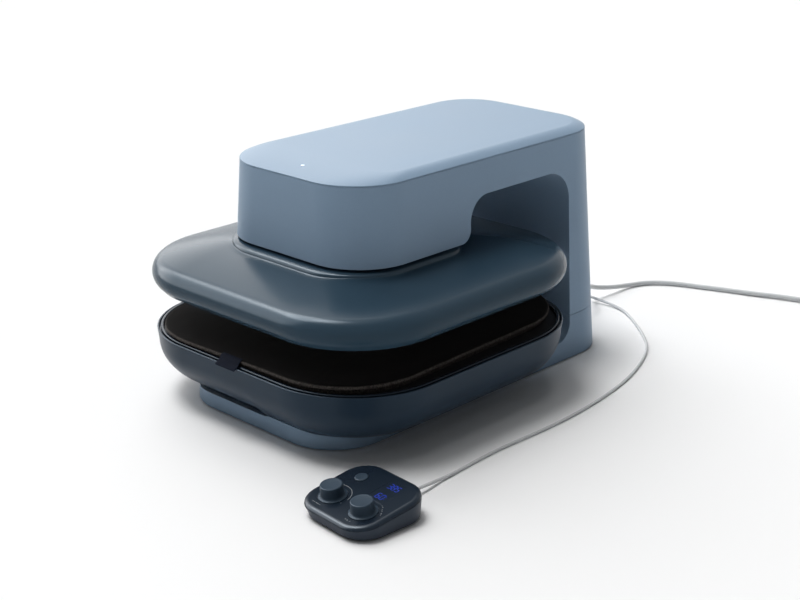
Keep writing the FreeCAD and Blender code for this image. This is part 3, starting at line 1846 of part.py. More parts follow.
def pod_cord():
    points = [point(*place) for place in pod_route]
    points[0] = point(pod_exit_x, rear_wall_y(exit_z) + pod_socket_length, exit_z)
    end, outward = pod_cord_end()
    points.append(end + outward * 15.0)
    points.append(end)
    path = bent_path(points, "pod cord", pod_cord_diameter)
    return tube(path, pod_cord_diameter, points[0], points[1] - points[0], "pod cord")


def main():
    os.makedirs("parts", exist_ok=True)
    save("base_housing", base_housing())
    save("base_plate", base_plate())
    save("rubber_feet", *rubber_feet())
    save("lower_bowl", lower_bowl())
    save("bowl_trim_ring", bowl_trim_ring())
    save("bed_plate", bed_plate())
    save("mat", mat())
    save("mat_tag", mat_tag())
    save("bowl_screws", *bowl_screws())
    save("hinge_bracket", hinge_bracket())
    save("hinge_pin", hinge_pin())
    save("power_board", power_board())
    save("latch_solenoid", latch_solenoid())
    save("power_cord_relief", power_cord_relief())
    save("pod_cord_socket", pod_cord_socket())
    save("arm_housing", arm_housing())
    save("top_cover", top_cover())
    save("status_light", status_light())
    save("arm_frame", arm_frame())
    save("arm_hinge_leaf", arm_hinge_leaf())
    save("hinge_bushes", *hinge_bushes())
    save("latch_striker", latch_striker())
    save("latch_bolt", latch_bolt())
    save("press_motor", press_motor())
    save("thrust_bearing", thrust_bearing())
    save("guide_plate", guide_plate())
    save("guide_bushes", *guide_bushes())
    save("control_board", control_board())
    save("cover_screws", *cover_screws())
    save("lead_screw", lead_screw())
    save("shaft_coupling", shaft_coupling())
    save("platen_cover", platen_cover())
    save("neck_shroud", neck_shroud())
    save("platen_carrier", platen_carrier())
    save("drive_nut", drive_nut())
    save("guide_rods", *guide_rods())
    save("insulation_board", insulation_board())
    save("heating_element", *heating_element())
    save("heat_plate", heat_plate())
    save("plate_spacers", *plate_spacers())
    save("temperature_sensor", temperature_sensor())
    save("pod_shell", on_pod(pod_shell()))
    save("pod_face", on_pod(pod_face()))
    save("pod_base", on_pod(pod_base()))
    save("pod_feet", *[on_pod(foot) for foot in pod_feet()])
    save("pod_screws", *[on_pod(screw) for screw in pod_screws()])
    save("pod_display", on_pod(pod_display()))
    save("pod_board", on_pod(pod_board()))
    save("dial_encoders", *[on_pod(encoder) for encoder in dial_encoders()])
    save("button_switch", on_pod(button_switch()))
    save("temperature_dial", on_pod(dial(-dial_x)))
    save("time_dial", on_pod(dial(dial_x)))
    save("power_button", on_pod(power_button()))
    save("pod_cord_relief", on_pod(pod_cord_relief()))
    save("power_cord", power_cord())
    save("power_cord_coil", power_cord_coil())
    save("cord_tie", cord_tie())
    save("power_plug", power_plug())
    save("plug_blades", *plug_blades())
    save("pod_cord", pod_cord())
    for name, shape in made:
        box = shape.BoundBox
        print("%-20s solids %d valid %s volume %.0f  x %.1f %.1f  y %.1f %.1f  z %.1f %.1f" % (
            name, len(shape.Solids), shape.isValid(), shape.Volume,
            box.XMin, box.XMax, box.YMin, box.YMax, box.ZMin, box.ZMax))
    print("screw turns over the travel %.2f" % (press_travel / screw_pitch))
    print("hinge axis y %.3f z %.3f" % (hinge_y(), seam_z))


main()
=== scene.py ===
# %% [markdown]
# # An automatic heat press, dressed around its CAD frame
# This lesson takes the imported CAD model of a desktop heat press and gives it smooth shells, fabric,
# cords and finishes. Every measure that shapes a piece is in millimetres, as in the CAD, and is
# turned into metres only when a vertex is placed.

# %% Load the frame
import json
import math
from collections import namedtuple
from functools import partial

import bmesh
import bpy
from mathutils import Matrix, Vector, noise

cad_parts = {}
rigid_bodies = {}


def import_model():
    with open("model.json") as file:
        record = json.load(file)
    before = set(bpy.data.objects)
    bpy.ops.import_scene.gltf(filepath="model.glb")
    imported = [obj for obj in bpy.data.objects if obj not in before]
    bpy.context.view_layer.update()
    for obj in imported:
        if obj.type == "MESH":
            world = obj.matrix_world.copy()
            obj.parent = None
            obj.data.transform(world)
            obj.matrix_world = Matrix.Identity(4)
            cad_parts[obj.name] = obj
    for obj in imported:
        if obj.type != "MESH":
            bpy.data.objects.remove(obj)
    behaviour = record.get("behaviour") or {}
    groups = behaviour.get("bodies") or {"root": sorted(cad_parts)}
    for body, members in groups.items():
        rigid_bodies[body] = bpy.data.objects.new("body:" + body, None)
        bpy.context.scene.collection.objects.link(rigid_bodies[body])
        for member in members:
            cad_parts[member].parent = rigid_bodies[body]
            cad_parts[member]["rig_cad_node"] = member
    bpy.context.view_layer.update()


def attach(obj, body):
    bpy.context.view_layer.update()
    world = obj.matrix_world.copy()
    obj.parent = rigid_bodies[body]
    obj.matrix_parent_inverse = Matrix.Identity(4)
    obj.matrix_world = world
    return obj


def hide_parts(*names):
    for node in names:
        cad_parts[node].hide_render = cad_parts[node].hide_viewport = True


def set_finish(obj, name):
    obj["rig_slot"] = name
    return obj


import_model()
MM = 0.001

# %% [markdown]
# ## The camera
# The photograph was taken with a longish lens from the front right, a little above the machine. The
# place, the direction and the lens were solved from the machine's own edges, so the camera is set by
# those numbers. A camera looks along its own -Z, so its axes are the picture's right, the picture's
# up and the way back to the viewer.

# %% Camera
AZIMUTH = math.radians(44.10)
ELEVATION = math.radians(19.98)
ROLL = math.radians(-0.20)
CAMERA_PLACE = Vector((1.30940, -1.27851, 0.78003))
SENSOR_WIDTH = 36.0
FOCAL_LENGTH = 67.729
NEAR_CLIP = 0.05

forward = Vector((
    -math.sin(AZIMUTH) * math.cos(ELEVATION),
    math.cos(AZIMUTH) * math.cos(ELEVATION),
    -math.sin(ELEVATION),
))
level_right = Vector((math.cos(AZIMUTH), math.sin(AZIMUTH), 0.0))
picture_right = level_right * math.cos(ROLL) + level_right.cross(forward) * math.sin(ROLL)
picture_up = picture_right.cross(forward)
axes = Matrix((picture_right, picture_up, -forward)).transposed()

camera_data = bpy.data.cameras.new("camera")
camera_data.sensor_width = SENSOR_WIDTH
camera_data.lens = FOCAL_LENGTH
camera_data.clip_start = NEAR_CLIP
camera = bpy.data.objects.new("camera", camera_data)
camera.matrix_world = Matrix.Translation(CAMERA_PLACE) @ axes.to_4x4()
bpy.context.scene.collection.objects.link(camera)
bpy.context.scene.camera = camera
print("camera at", [round(c, 3) for c in CAMERA_PLACE])

# %% [markdown]
# ## The cords
# A mains lead and a thin control cord are fixed lengths of soft vinyl tube. A curve with a round bevel
# is the simplest true tube: one NURBS spline through the open, whose control points are the route.
# The order is set after the points are added, so that the line is smooth and not a chain of runs.
# Blender measures a curve's box with the radius of its points, so that radius is kept near the cord's
# own and the bevel depth makes up for it.

# %% Cord helper
POINT_RADIUS = 0.004


def cord_curve(name, points, diameter):
    """A round cord on one smooth open spline. Points are in metres."""
    data = bpy.data.curves.new(name, "CURVE")
    data.dimensions = "3D"
    data.bevel_depth = diameter / 2 / POINT_RADIUS
    data.bevel_resolution = 5
    data.use_fill_caps = True
    data.resolution_u = 8
    spline = data.splines.new("NURBS")
    spline.points.add(len(points) - 1)
    for place, spline_point in zip(points, spline.points):
        spline_point.co = (place[0], place[1], place[2], 1.0)
        spline_point.radius = POINT_RADIUS
    spline.order_u = 3
    spline.use_endpoint_u = True
    cord = bpy.data.objects.new(name, data)
    bpy.context.scene.collection.objects.link(cord)
    return cord

# %% [markdown]
# ### The mains lead
# It leaves low on the back, bends down to the table and runs out of the picture to the right. What
# the picture doesn't show is put away as a neat coil just outside the view: turns that wind inwards on
# the table, climb by one cord and wind outwards again. A spline stays inside its control points, so
# the coil's points stand a little further out than the turns they make.

# %% Mains lead
POWER_CORD_DIAMETER = 0.007
POWER_ROUTE = [
    (0.06, 0.38547, 0.042), (0.06, 0.406, 0.042), (0.053, 0.427, 0.0375), (0.0368, 0.445, 0.0295),
    (0.0286, 0.462, 0.0213), (0.0298, 0.4825, 0.0155), (0.0325, 0.5035, 0.0112), (0.0326, 0.526, 0.007),
    (0.0348, 0.547, 0.0044), (0.041, 0.5655, 0.0036), (0.0505, 0.58, 0.0036), (0.066, 0.594, 0.0036),
    (0.089, 0.6065, 0.0036), (0.118, 0.6175, 0.0036), (0.154, 0.6315, 0.0036), (0.19, 0.644, 0.0038),
    (0.228, 0.6585, 0.0045), (0.266, 0.6715, 0.0045), (0.295, 0.6822, 0.0045),
]
COIL_RADIUS = 0.048
COIL_PITCH = 0.008
COIL_LEAD = 0.008
COIL_TAIL = 0.034
COIL_TAIL_SHARES = (0.3, 1.0)
COIL_CLIMB_STEP = 0.0015
LAYER_RISE = 0.0076
FIRST_QUARTERS = 10
SECOND_QUARTERS = 9
STEPS_A_QUARTER = 3
UP = Vector((0, 0, 1))


def arc_points(place, heading, radius, turn, steps, rise):
    """Control points of one arc to the left, and where and how it ends."""
    centre = place + UP.cross(heading) * radius
    spread = 1.0 / (0.75 + 0.25 * math.cos(turn / steps))
    points = []
    for step in range(steps):
        share = (step + 0.5) / steps
        spoke = Matrix.Rotation(turn * share, 3, "Z") @ (place - centre)
        points.append(centre + spoke * spread + UP * (rise * share * share * (3 - 2 * share)))
    whole = Matrix.Rotation(turn, 3, "Z")
    return points, centre + whole @ (place - centre) + UP * rise, whole @ heading


def coil_points(start, heading):
    """The coil as the CAD has it: inwards, up by one cord, outwards, and a straight tail."""
    place = start + heading * COIL_LEAD
    radius = COIL_RADIUS
    points = []
    inwards = [(1, 0.0, 0.0, -COIL_PITCH / 4)] * FIRST_QUARTERS
    climb = [(2, COIL_CLIMB_STEP, LAYER_RISE, 0.0)]
    outwards = [(1, 0.0, 0.0, COIL_PITCH / 4)] * SECOND_QUARTERS
    for quarters, tighter, rise, widening in inwards + climb + outwards:
        arc, place, heading = arc_points(
            place, heading, radius - tighter, quarters * math.pi / 2, quarters * STEPS_A_QUARTER, rise,
        )
        points += arc
        radius += widening
    return points + [place + heading * COIL_TAIL * share for share in COIL_TAIL_SHARES], heading


route = [Vector(place) for place in POWER_ROUTE]
turns, plug_heading = coil_points(route[-1], (route[-1] - route[-2]).normalized())
power_cord = cord_curve("power_cord_line", route + turns, POWER_CORD_DIAMETER)
plug_place = turns[-1]
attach(power_cord, "base")
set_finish(power_cord, "cord_jacket")
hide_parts("power_cord", "power_cord_coil")
print("mains lead points", len(route) + len(turns), "plug at", [round(c, 4) for c in plug_place])

# %% [markdown]
# ### The control cord
# The thin cord comes out of the back beside the mains lead, falls to the table and sweeps round the
# right side to the pod. It lies flat all the way, so its points stay one cord's radius off the table.

# %% Control cord
POD_CORD_DIAMETER = 0.004
POD_CORD_LEAD = 0.015
POD_ROUTE = [
    (-0.06, 0.36447, 0.042), (-0.06, 0.381, 0.042), (-0.054, 0.401, 0.036), (-0.035, 0.423, 0.025),
    (-0.012, 0.441, 0.016), (0.014, 0.4515, 0.01), (0.04, 0.4575, 0.0064), (0.066, 0.4592, 0.0038),
    (0.091, 0.454, 0.0023), (0.116, 0.4375, 0.002), (0.137, 0.421, 0.002), (0.158, 0.4035, 0.002),
    (0.181, 0.382, 0.002), (0.201, 0.36, 0.002), (0.2185, 0.33, 0.002), (0.232, 0.299, 0.002),
    (0.245, 0.262, 0.002), (0.2545, 0.225, 0.002), (0.261, 0.188, 0.002), (0.2665, 0.146, 0.002),
    (0.2695, 0.103, 0.002), (0.27, 0.061, 0.002), (0.2688, 0.022, 0.002), (0.2666, -0.014, 0.002),
    (0.2662, -0.05, 0.002), (0.2678, -0.084, 0.002), (0.2696, -0.112, 0.002), (0.2706, -0.135, 0.0028),
    (0.2724, -0.156, 0.0054),
]
POD_PLACE = Vector((0.26384, -0.25926, 0.0))
POD_TURN = math.radians(-4.24)
POD_RELIEF_TIP = (0.005, 0.06548, 0.008)

pod_frame = Matrix.Translation(POD_PLACE) @ Matrix.Rotation(POD_TURN, 4, "Z")
pod_tip = pod_frame @ Vector(POD_RELIEF_TIP)
pod_back = pod_frame.to_3x3() @ Vector((0, 1, 0))
pod_points = [Vector(place) for place in POD_ROUTE] + [pod_tip + pod_back * POD_CORD_LEAD, pod_tip]
pod_cord = cord_curve("pod_cord_line", pod_points, POD_CORD_DIAMETER)
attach(pod_cord, "base")
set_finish(pod_cord, "cord_jacket")
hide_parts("pod_cord")
print("control cord points", len(pod_points))

# %% [markdown]
# ## Helpers for shells
# Almost every shell of this machine is a rounded rectangle seen from above that changes a little from
# level to level. A plan holds such a form: its half width, where its front and its rear lie, and the
# radii of its corners there. In mesh terms a shell is one ring of vertices, extruded upwards again and
# again, with each copy set on its own outline.

# %% Outlines and lofts
CORNER_STEPS = 24
Plan = namedtuple("Plan", "half_width front rear front_radius rear_radius")


def outline(half_x, front, rear, front_radius, rear_radius):
    """A rounded rectangle seen from above, in millimetres, anticlockwise."""
    corners = [
        (half_x - front_radius, front + front_radius, front_radius, -90),
        (half_x - rear_radius, rear - rear_radius, rear_radius, 0),
        (rear_radius - half_x, rear - rear_radius, rear_radius, 90),
        (front_radius - half_x, front + front_radius, front_radius, 180),
    ]
    points = []
    for x, y, radius, start in corners:
        for step in range(CORNER_STEPS + 1):
            angle = math.radians(start + 90 * step / CORNER_STEPS)
            points.append((x + radius * math.cos(angle), y + radius * math.sin(angle)))
    return points


def grown(plan, grow):
    """The outline of a plan that is grown evenly all round."""
    half_x, front, rear, front_radius, rear_radius = plan
    return outline(half_x + grow, front - grow, rear + grow, front_radius + grow, rear_radius + grow)


def level(points, z):
    """Set an outline at one height."""
    return [(x, y, z) for x, y in points]


def plan_ring(plan, grow, z):
    return level(grown(plan, grow), z)


def sweep(start, end, steps, skip=0):
    """Evenly spaced angles from start to end, less the first ones."""
    return [start + (end - start) * step / steps for step in range(skip, steps + 1)]


def denser(points, corner_cuts, straight_cuts):
    """The same outline with every short piece and every straight run divided evenly."""
    divided = []
    for index, (x, y) in enumerate(points):
        next_x, next_y = points[(index + 1) % len(points)]
        cuts = straight_cuts if index % (CORNER_STEPS + 1) == CORNER_STEPS else corner_cuts
        for cut in range(cuts):
            divided.append((x + (next_x - x) * cut / cuts, y + (next_y - y) * cut / cuts))
    return divided


def new_verts(made):
    return [item for item in made["geom"] if isinstance(item, bmesh.types.BMVert)]


def rim_edges(bm, ring):
    return [bm.edges.get((ring[index - 1], ring[index])) for index in range(len(ring))]


def set_ring(ring, places):
    for vert, place in zip(ring, places):
        vert.co = Vector(place) * MM


def next_ring(bm, ring, places):
    """Extrude the open rim and set its copy on the next outline."""
    fresh = set(new_verts(bmesh.ops.extrude_edge_only(bm, edges=rim_edges(bm, ring))))
    copies = []
    for vert in ring:
        others = [edge.other_vert(vert) for edge in vert.link_edges]
        copies.append(next(other for other in others if other in fresh))
    set_ring(copies, places)
    return copies


def new_object(name, bm):
    """Turn a bmesh into an object at the origin, with its faces pointing outwards."""
    bmesh.ops.remove_doubles(bm, verts=bm.verts, dist=1e-7)
    bmesh.ops.recalc_face_normals(bm, faces=bm.faces)
    mesh = bpy.data.meshes.new(name)
    bm.to_mesh(mesh)
    bm.free()
    piece = bpy.data.objects.new(name, mesh)
    bpy.context.scene.collection.objects.link(piece)
    return piece


def loft(name, rings, closed_loop=False):
    """A solid through rings of places, capped at both ends or joined into a loop."""
    bm = bmesh.new()
    first = bmesh.ops.create_circle(bm, segments=len(rings[0]), radius=1.0)["verts"]
    set_ring(first, rings[0])
    ring = first
    for places in rings[1:]:
        ring = next_ring(bm, ring, places)
    if closed_loop:
        next_ring(bm, ring, rings[0])
    else:
        for rim in (first, ring):
            bmesh.ops.contextual_create(bm, geom=rim_edges(bm, rim))
    return new_object(name, bm)


# %% [markdown]
# Windows, slots and holes are cut with the Boolean modifier, which is then made part of the mesh, so
# that the finished piece is one closed skin. A soft break of the edges and weighted normals make big
# flat faces look flat beside round ones.

# %% Cutting and finishing
FAR = 400.0
OVERCUT = 10.0
BLEND_SEGMENTS = 20


def bake(piece):
    """Make a piece's modifiers part of its mesh."""
    bpy.context.view_layer.update()
    graph = bpy.context.evaluated_depsgraph_get()
    mesh = bpy.data.meshes.new_from_object(piece.evaluated_get(graph))
    piece.modifiers.clear()
    piece.data = mesh


def combine(piece, *others, operation="DIFFERENCE"):
    """Cut the other solids out of a piece one by one, or join or intersect it with them."""
    for other in others:
        modifier = piece.modifiers.new("Boolean", "BOOLEAN")
        modifier.object = other
        modifier.operation = operation
        modifier.solver = "EXACT"
        bake(piece)
        bpy.data.objects.remove(other)


def shade(piece, angle):
    piece.data.shade_smooth()
    piece.data.set_sharp_from_angle(angle=math.radians(angle))


def soften(piece, edge_radius=0.0, angle=35.0):
    """Break the sharp edges, shade smooth and keep the flats flat."""
    shade(piece, angle)
    if edge_radius:
        bevel = piece.modifiers.new("Bevel", "BEVEL")
        bevel.width = edge_radius * MM
        bevel.segments = 2
        bevel.limit_method = "ANGLE"
        bevel.angle_limit = math.radians(angle)
        bevel.harden_normals = False
        bake(piece)
        shade(piece, angle)
    weighted = piece.modifiers.new("WeightedNormal", "WEIGHTED_NORMAL")
    weighted.keep_sharp = True
    weighted.weight = 80
    return piece


def place_piece(piece, body, slot_name, *nodes):
    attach(piece, body)
    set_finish(piece, slot_name)
    if nodes:
        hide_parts(*nodes)
    print(piece.name, "faces", len(piece.data.polygons), "on", body)
    return piece


def side_cutter(corners):
    """A side profile of corners (y, z, bend radius) extruded across the machine."""
    bm = bmesh.new()
    verts = [bm.verts.new((-FAR / 2 * MM, y * MM, z * MM)) for y, z, radius in corners]
    outline_edges = [bm.edges.new((verts[index - 1], verts[index])) for index in range(len(verts))]
    face = bmesh.ops.contextual_create(bm, geom=outline_edges)["faces"][0]
    far = new_verts(bmesh.ops.extrude_face_region(bm, geom=[face]))
    bmesh.ops.translate(bm, verts=far, vec=(FAR * MM, 0, 0))
    bmesh.ops.recalc_face_normals(bm, faces=bm.faces)
    for y, z, radius in corners:
        if radius == 0:
            continue
        across = [
            edge for edge in bm.edges
            if all((vert.co.yz - Vector((y, z)) * MM).length < 1e-6 for vert in edge.verts)
        ]
        bmesh.ops.bevel(
            bm, geom=across, offset=radius * MM, offset_type="OFFSET", affect="EDGES",
            segments=BLEND_SEGMENTS, profile=0.5, material=-1,
        )
    return new_object("cutter", bm)


def round_cutter(radius, start, end, segments=48):
    """A rod between two places, in millimetres."""
    start = Vector(start)
    end = Vector(end)
    bm = bmesh.new()
    bmesh.ops.create_cone(
        bm, cap_ends=True, segments=segments, radius1=radius * MM, radius2=radius * MM,
        depth=(end - start).length * MM,
    )
    turn = UP.rotation_difference((end - start).normalized()).to_matrix().to_4x4()
    middle = Matrix.Translation((start + end) / 2 * MM)
    bmesh.ops.transform(bm, matrix=middle @ turn, verts=bm.verts)
    return new_object("cutter", bm)

# %% [markdown]
# ## The base housing
# The base is one drafted moulding: a low foot at the front, hollowed to clear the bowl, that sweeps up
# into the column with a round blend. It is the plan outline drawn in as it rises, less the open space
# over the foot, less the bowl's own form grown by the slot between them.

# %% Base housing
SIDE_LEAN = math.tan(math.radians(4.0))
END_LEAN = 0.03
REAR_Y = 351.73
HEAD = Plan(148.2, -136.9, REAR_Y, 75.0, 71.6)
FOOT = HEAD._replace(front=-191.4, front_radius=73.0)
FOOT_TOP_Z = 28.0
FOOT_BLEND = 25.0
FOOT_SPACE_TOP_Z = 101.5
FEET_HEIGHT = 2.0
WALL = 3.0
SEAM_Z = 61.5
SEAM_GAP = 0.6
GRIP_DEPTH = 2.0
GRIP_END_X = 38.0
GRIP_END_SLANT = 1.6
GRIP_REAR_Y = -150.0
COLUMN_FRONT_Y = 253.67
COLUMN_LEAN = 0.0236
RIM = Plan(215.0, -222.64, 222.64, 122.0, 122.0)
LIP_Z = 91.3
LIP_STAND_OUT = 3.3
BOWL_CURVE = 57.1
BOWL_CURVE_Z = 77.9
BOWL_CURVE_INSET = 55.3
BOWL_CURVE_STEPS = 16
BOWL_SLOT = 2.5
HINGE_INSET = 7.8
HINGE_ROOM = (9.0, 92.6)
HINGE_ENDS = (5.8, 107.0)
EXIT_Z = 42.0
POWER_EXIT_X = 60.0
POD_EXIT_X = -60.0
EXIT_HOLES = ((POWER_EXIT_X, 6.0), (POD_EXIT_X, 4.5))
EXIT_CUT = 9.0

rim_ring = partial(plan_ring, RIM)


def drafted(plan, z):
    """A plan as the leaning walls leave it at a height."""
    return plan._replace(
        half_width=plan.half_width - SIDE_LEAN * z,
        front=plan.front + END_LEAN * z,
        rear=plan.rear - END_LEAN * z,
    )


def drafted_block(name, plan, low, high, inset=0.0):
    return loft(name, [plan_ring(drafted(plan, z), -inset, z) for z in (low, high)])


def column_y(z):
    return COLUMN_FRONT_Y + COLUMN_LEAN * z


def bowl_side(grow):
    """Rings of the bowl's round side, grown evenly, from its level bottom to its steep wall."""
    radius = BOWL_CURVE + grow
    return [
        rim_ring(radius * math.cos(angle) - BOWL_CURVE_INSET, BOWL_CURVE_Z - radius * math.sin(angle))
        for angle in sweep(math.pi / 2, 0.0, BOWL_CURVE_STEPS)
    ]


def bowl_cutter(grow):
    return loft("cutter", bowl_side(grow) + [rim_ring(LIP_STAND_OUT + grow, LIP_Z + OVERCUT)])


def foot_space(grow):
    return side_cutter([
        (-FAR, FOOT_TOP_Z - grow, 0),
        (column_y(FOOT_TOP_Z) + grow, FOOT_TOP_Z - grow, FOOT_BLEND + grow),
        (column_y(FOOT_SPACE_TOP_Z) + grow, FOOT_SPACE_TOP_Z, 0),
        (-FAR, FOOT_SPACE_TOP_Z, 0),
    ])


def hinge_groove():
    hinge_y = REAR_Y - END_LEAN * SEAM_Z - HINGE_INSET
    groove, ends = (
        round_cutter(radius, (-half_length, hinge_y, SEAM_Z), (half_length, hinge_y, SEAM_Z))
        for radius, half_length in (HINGE_ROOM, HINGE_ENDS)
    )
    combine(groove, ends, operation="UNION")
    return groove


def grip_slot(grow):
    """The finger slot under the front of the bowl: the bowl's form grown once more, up to one end."""
    spare = grow - BOWL_SLOT - GRIP_DEPTH
    rear_y = GRIP_REAR_Y + spare
    rings = []
    for z in (-FAR, FAR):
        end_x = GRIP_END_X + spare + GRIP_END_SLANT * (z - FOOT_TOP_Z)
        rings.append(level([(-FAR * 3, -FAR), (end_x, -FAR), (end_x, rear_y), (-FAR * 3, rear_y)], z))
    slot = bowl_cutter(grow)
    combine(slot, loft("cutter", rings), operation="INTERSECT")
    return slot


def moulded_base():
    top = SEAM_Z - SEAM_GAP / 2
    slot = BOWL_SLOT + GRIP_DEPTH
    hollow = drafted_block("hollow", FOOT, FEET_HEIGHT - WALL, top + WALL, WALL)
    combine(hollow, foot_space(WALL), bowl_cutter(BOWL_SLOT + WALL), grip_slot(slot + WALL))
    shell = drafted_block("base_shell", FOOT, FEET_HEIGHT, top)
    combine(shell, foot_space(0.0), bowl_cutter(BOWL_SLOT), hollow, grip_slot(slot), hinge_groove())
    for x, radius in EXIT_HOLES:
        combine(shell, round_cutter(radius, (x, REAR_Y - EXIT_CUT, EXIT_Z), (x, REAR_Y + EXIT_CUT, EXIT_Z)))
    return shell


place_piece(soften(moulded_base(), 0.6), "base", "housing_plastic", "base_housing")

# %% [markdown]
# ## The arm housing
# The C-shaped arm is the machine's main form. It is the same drafted outline carried on upwards, less
# one side profile that makes the window, the space under the head and the front of the column, each
# with its own bend. A second, smaller copy of the same form hollows it.

# %% Arm housing
HEAD_BOTTOM_Z = 209.0
HEAD_REAR_Y = 63.0
HEAD_CORNER = 17.5
ARM_UNDERSIDE_Z = 264.0
WINDOW_FRONT_BEND = 34.0
WINDOW_REAR_BEND = 41.0
COVER_SEAM_Z = 307.3
SHROUD = Plan(121.5, -119.5, 49.5, 64.0, 40.0)
HEAD_OPENING = 1.5


def window_space(grow):
    return side_cutter([
        (-FAR, 0.0, 0),
        (-FAR, HEAD_BOTTOM_Z + grow, 0),
        (HEAD_REAR_Y - grow, HEAD_BOTTOM_Z + grow, HEAD_CORNER - grow),
        (HEAD_REAR_Y - grow, ARM_UNDERSIDE_Z + grow, WINDOW_FRONT_BEND + grow),
        (column_y(ARM_UNDERSIDE_Z) + grow, ARM_UNDERSIDE_Z + grow, WINDOW_REAR_BEND + grow),
        (column_y(0) + grow, 0.0, 0),
    ])


def moulded_arm():
    bottom = SEAM_Z + SEAM_GAP / 2
    hollow = drafted_block("hollow", HEAD, bottom - WALL, COVER_SEAM_Z + WALL, WALL)
    combine(hollow, window_space(WALL))
    opening = loft("cutter", [
        plan_ring(SHROUD, HEAD_OPENING, HEAD_BOTTOM_Z + rise) for rise in (-WALL, 2 * WALL)
    ])
    shell = drafted_block("arm_shell", HEAD, bottom, COVER_SEAM_Z)
    combine(shell, window_space(0.0), hollow, opening, hinge_groove())
    return shell


place_piece(soften(moulded_arm(), 0.9), "arm", "housing_plastic", "arm_housing")

# %% [markdown]
# ## The top cover
# The cover is a shallow pillow that starts at a crisp parting line on the walls and crowns up to a flat
# panel: wide and lazy at the front, tight at the sides and back. Each ring is drawn in by its share of
# the crown. A tongue inside the wall leaves a fine dark groove all round, as the parting line has.

# %% Top cover
ROLL_RISE = 7.9
ROLL_SIDE_INSET = 18.8
ROLL_FRONT_INSET = 65.0
PANEL_FRONT_RADIUS = 30.0
PANEL_REAR_RADIUS = 52.0
PARTING_GAP = 0.45
EDGE_BREAK = 0.25
TONGUE_INSET = 1.0
SKIRT_HEIGHT = 0.5
SKIRT_RADIUS = 1.0
SKIRT_TURN = math.radians(64.0)
SKIRT_STEPS = 5
CROWN_BASE = PARTING_GAP + SKIRT_HEIGHT + SKIRT_RADIUS * math.sin(SKIRT_TURN)
CROWN_STEPS = 20
CROWN_WALL = 2.5
CREASE = 0.2
LIGHT_Y = -94.8
LIGHT_RADIUS = 2.5
LIGHT_GAP = 0.1
LIGHT_CUT = (COVER_SEAM_Z - 2.0, COVER_SEAM_Z + 20.0)


def cover_ring(share, shrink, z):
    seam = drafted(HEAD, COVER_SEAM_Z)
    return plan_ring(Plan(
        seam.half_width - ROLL_SIDE_INSET * share,
        seam.front + ROLL_FRONT_INSET * share,
        seam.rear - ROLL_SIDE_INSET * share,
        seam.front_radius + (PANEL_FRONT_RADIUS - seam.front_radius) * share,
        seam.rear_radius + (PANEL_REAR_RADIUS - seam.rear_radius) * share,
    ), -shrink, z)


def crown_height(share):
    """Height over the seam at a share of the way in: nearly a parabola, with a faint crease at its end."""
    rise = (1 - CREASE) * (1 - (1 - share) ** 2) + CREASE * share
    return CROWN_BASE + (ROLL_RISE - CROWN_BASE) * rise


def crowned_cover():
    lip = COVER_SEAM_Z + PARTING_GAP
    outer = [cover_ring(0.0, shrink, z) for shrink, z in (
        (WALL, COVER_SEAM_Z), (TONGUE_INSET, COVER_SEAM_Z), (TONGUE_INSET, lip),
        (EDGE_BREAK, lip), (0.0, lip + EDGE_BREAK),
    )]
    for angle in sweep(0.0, SKIRT_TURN, SKIRT_STEPS):
        shrink = SKIRT_RADIUS * (1 - math.cos(angle))
        outer.append(cover_ring(0.0, shrink, lip + SKIRT_HEIGHT + SKIRT_RADIUS * math.sin(angle)))
    edge = SKIRT_RADIUS * (1 - math.cos(SKIRT_TURN))
    inner = []
    for step in range(CROWN_STEPS + 1):
        share = step / CROWN_STEPS
        height = COVER_SEAM_Z + crown_height(share)
        if step:
            outer.append(cover_ring(share, edge * (1 - share), height))
        inner.append(cover_ring(share, WALL, height - CROWN_WALL))
    cover = loft("cover_shell", inner[::-1] + outer)
    low, high = LIGHT_CUT
    combine(cover, round_cutter(LIGHT_RADIUS + LIGHT_GAP, (0.0, LIGHT_Y, low), (0.0, LIGHT_Y, high)))
    return cover


place_piece(soften(crowned_cover()), "arm", "housing_plastic", "top_cover")

# %% [markdown]
# ## The lower bowl, its trim ring and the bed
# The bowl is a deep tray with a round side. One closed run of rings makes it: out along the bottom, up
# the side, over the lip, down into the groove and back inside. The trim ring sits in the groove and
# keeps a fine dark line between itself and the lip.

# %% Lower bowl
RECESS_LIFT = 3.4
RECESS_END_X = (GRIP_END_X - 12.0, GRIP_END_X + 2.0)
RECESS_REAR_Y = (-176.0, -150.0)
RECESS_TOP_Z = (32.0, 68.0)
RECESS_CUTS = 40
GROOVE_OUTER = 0.8
GROOVE_INNER = -0.8
LIP_ROUND = 1.1
LIP_STEPS = 5
LEDGE_Z = 84.0
TRIM_OUTER = GROOVE_INNER - 0.3
TRIM_TOP_Z = 92.7
TRIM_INNER = -5.0
TRIM_BEAD = 1.5
TRIM_FLANGE_Z = 87.6
BED_TOP_Z = 88.0
BED_THICKNESS = 6.0
BED_CHAMFER = 0.5
SEAT = 0.3


def rolled_lip(outer, inner, top, radius):
    """Rings that go over a lip with both of its edges rounded."""
    turns = [(1 - math.cos(angle), 1 - math.sin(angle)) for angle in sweep(0.0, math.pi / 2, LIP_STEPS)]
    return (
        [rim_ring(outer - radius * early, top - radius * late) for early, late in turns]
        + [rim_ring(inner + radius * late, top - radius * early) for early, late in turns]
    )


def eased(value, limits):
    """A smooth step from 0 at the first limit to 1 at the second."""
    start, end = limits
    share = min(max((value - start) / (end - start), 0.0), 1.0)
    return share * share * (3 - 2 * share)


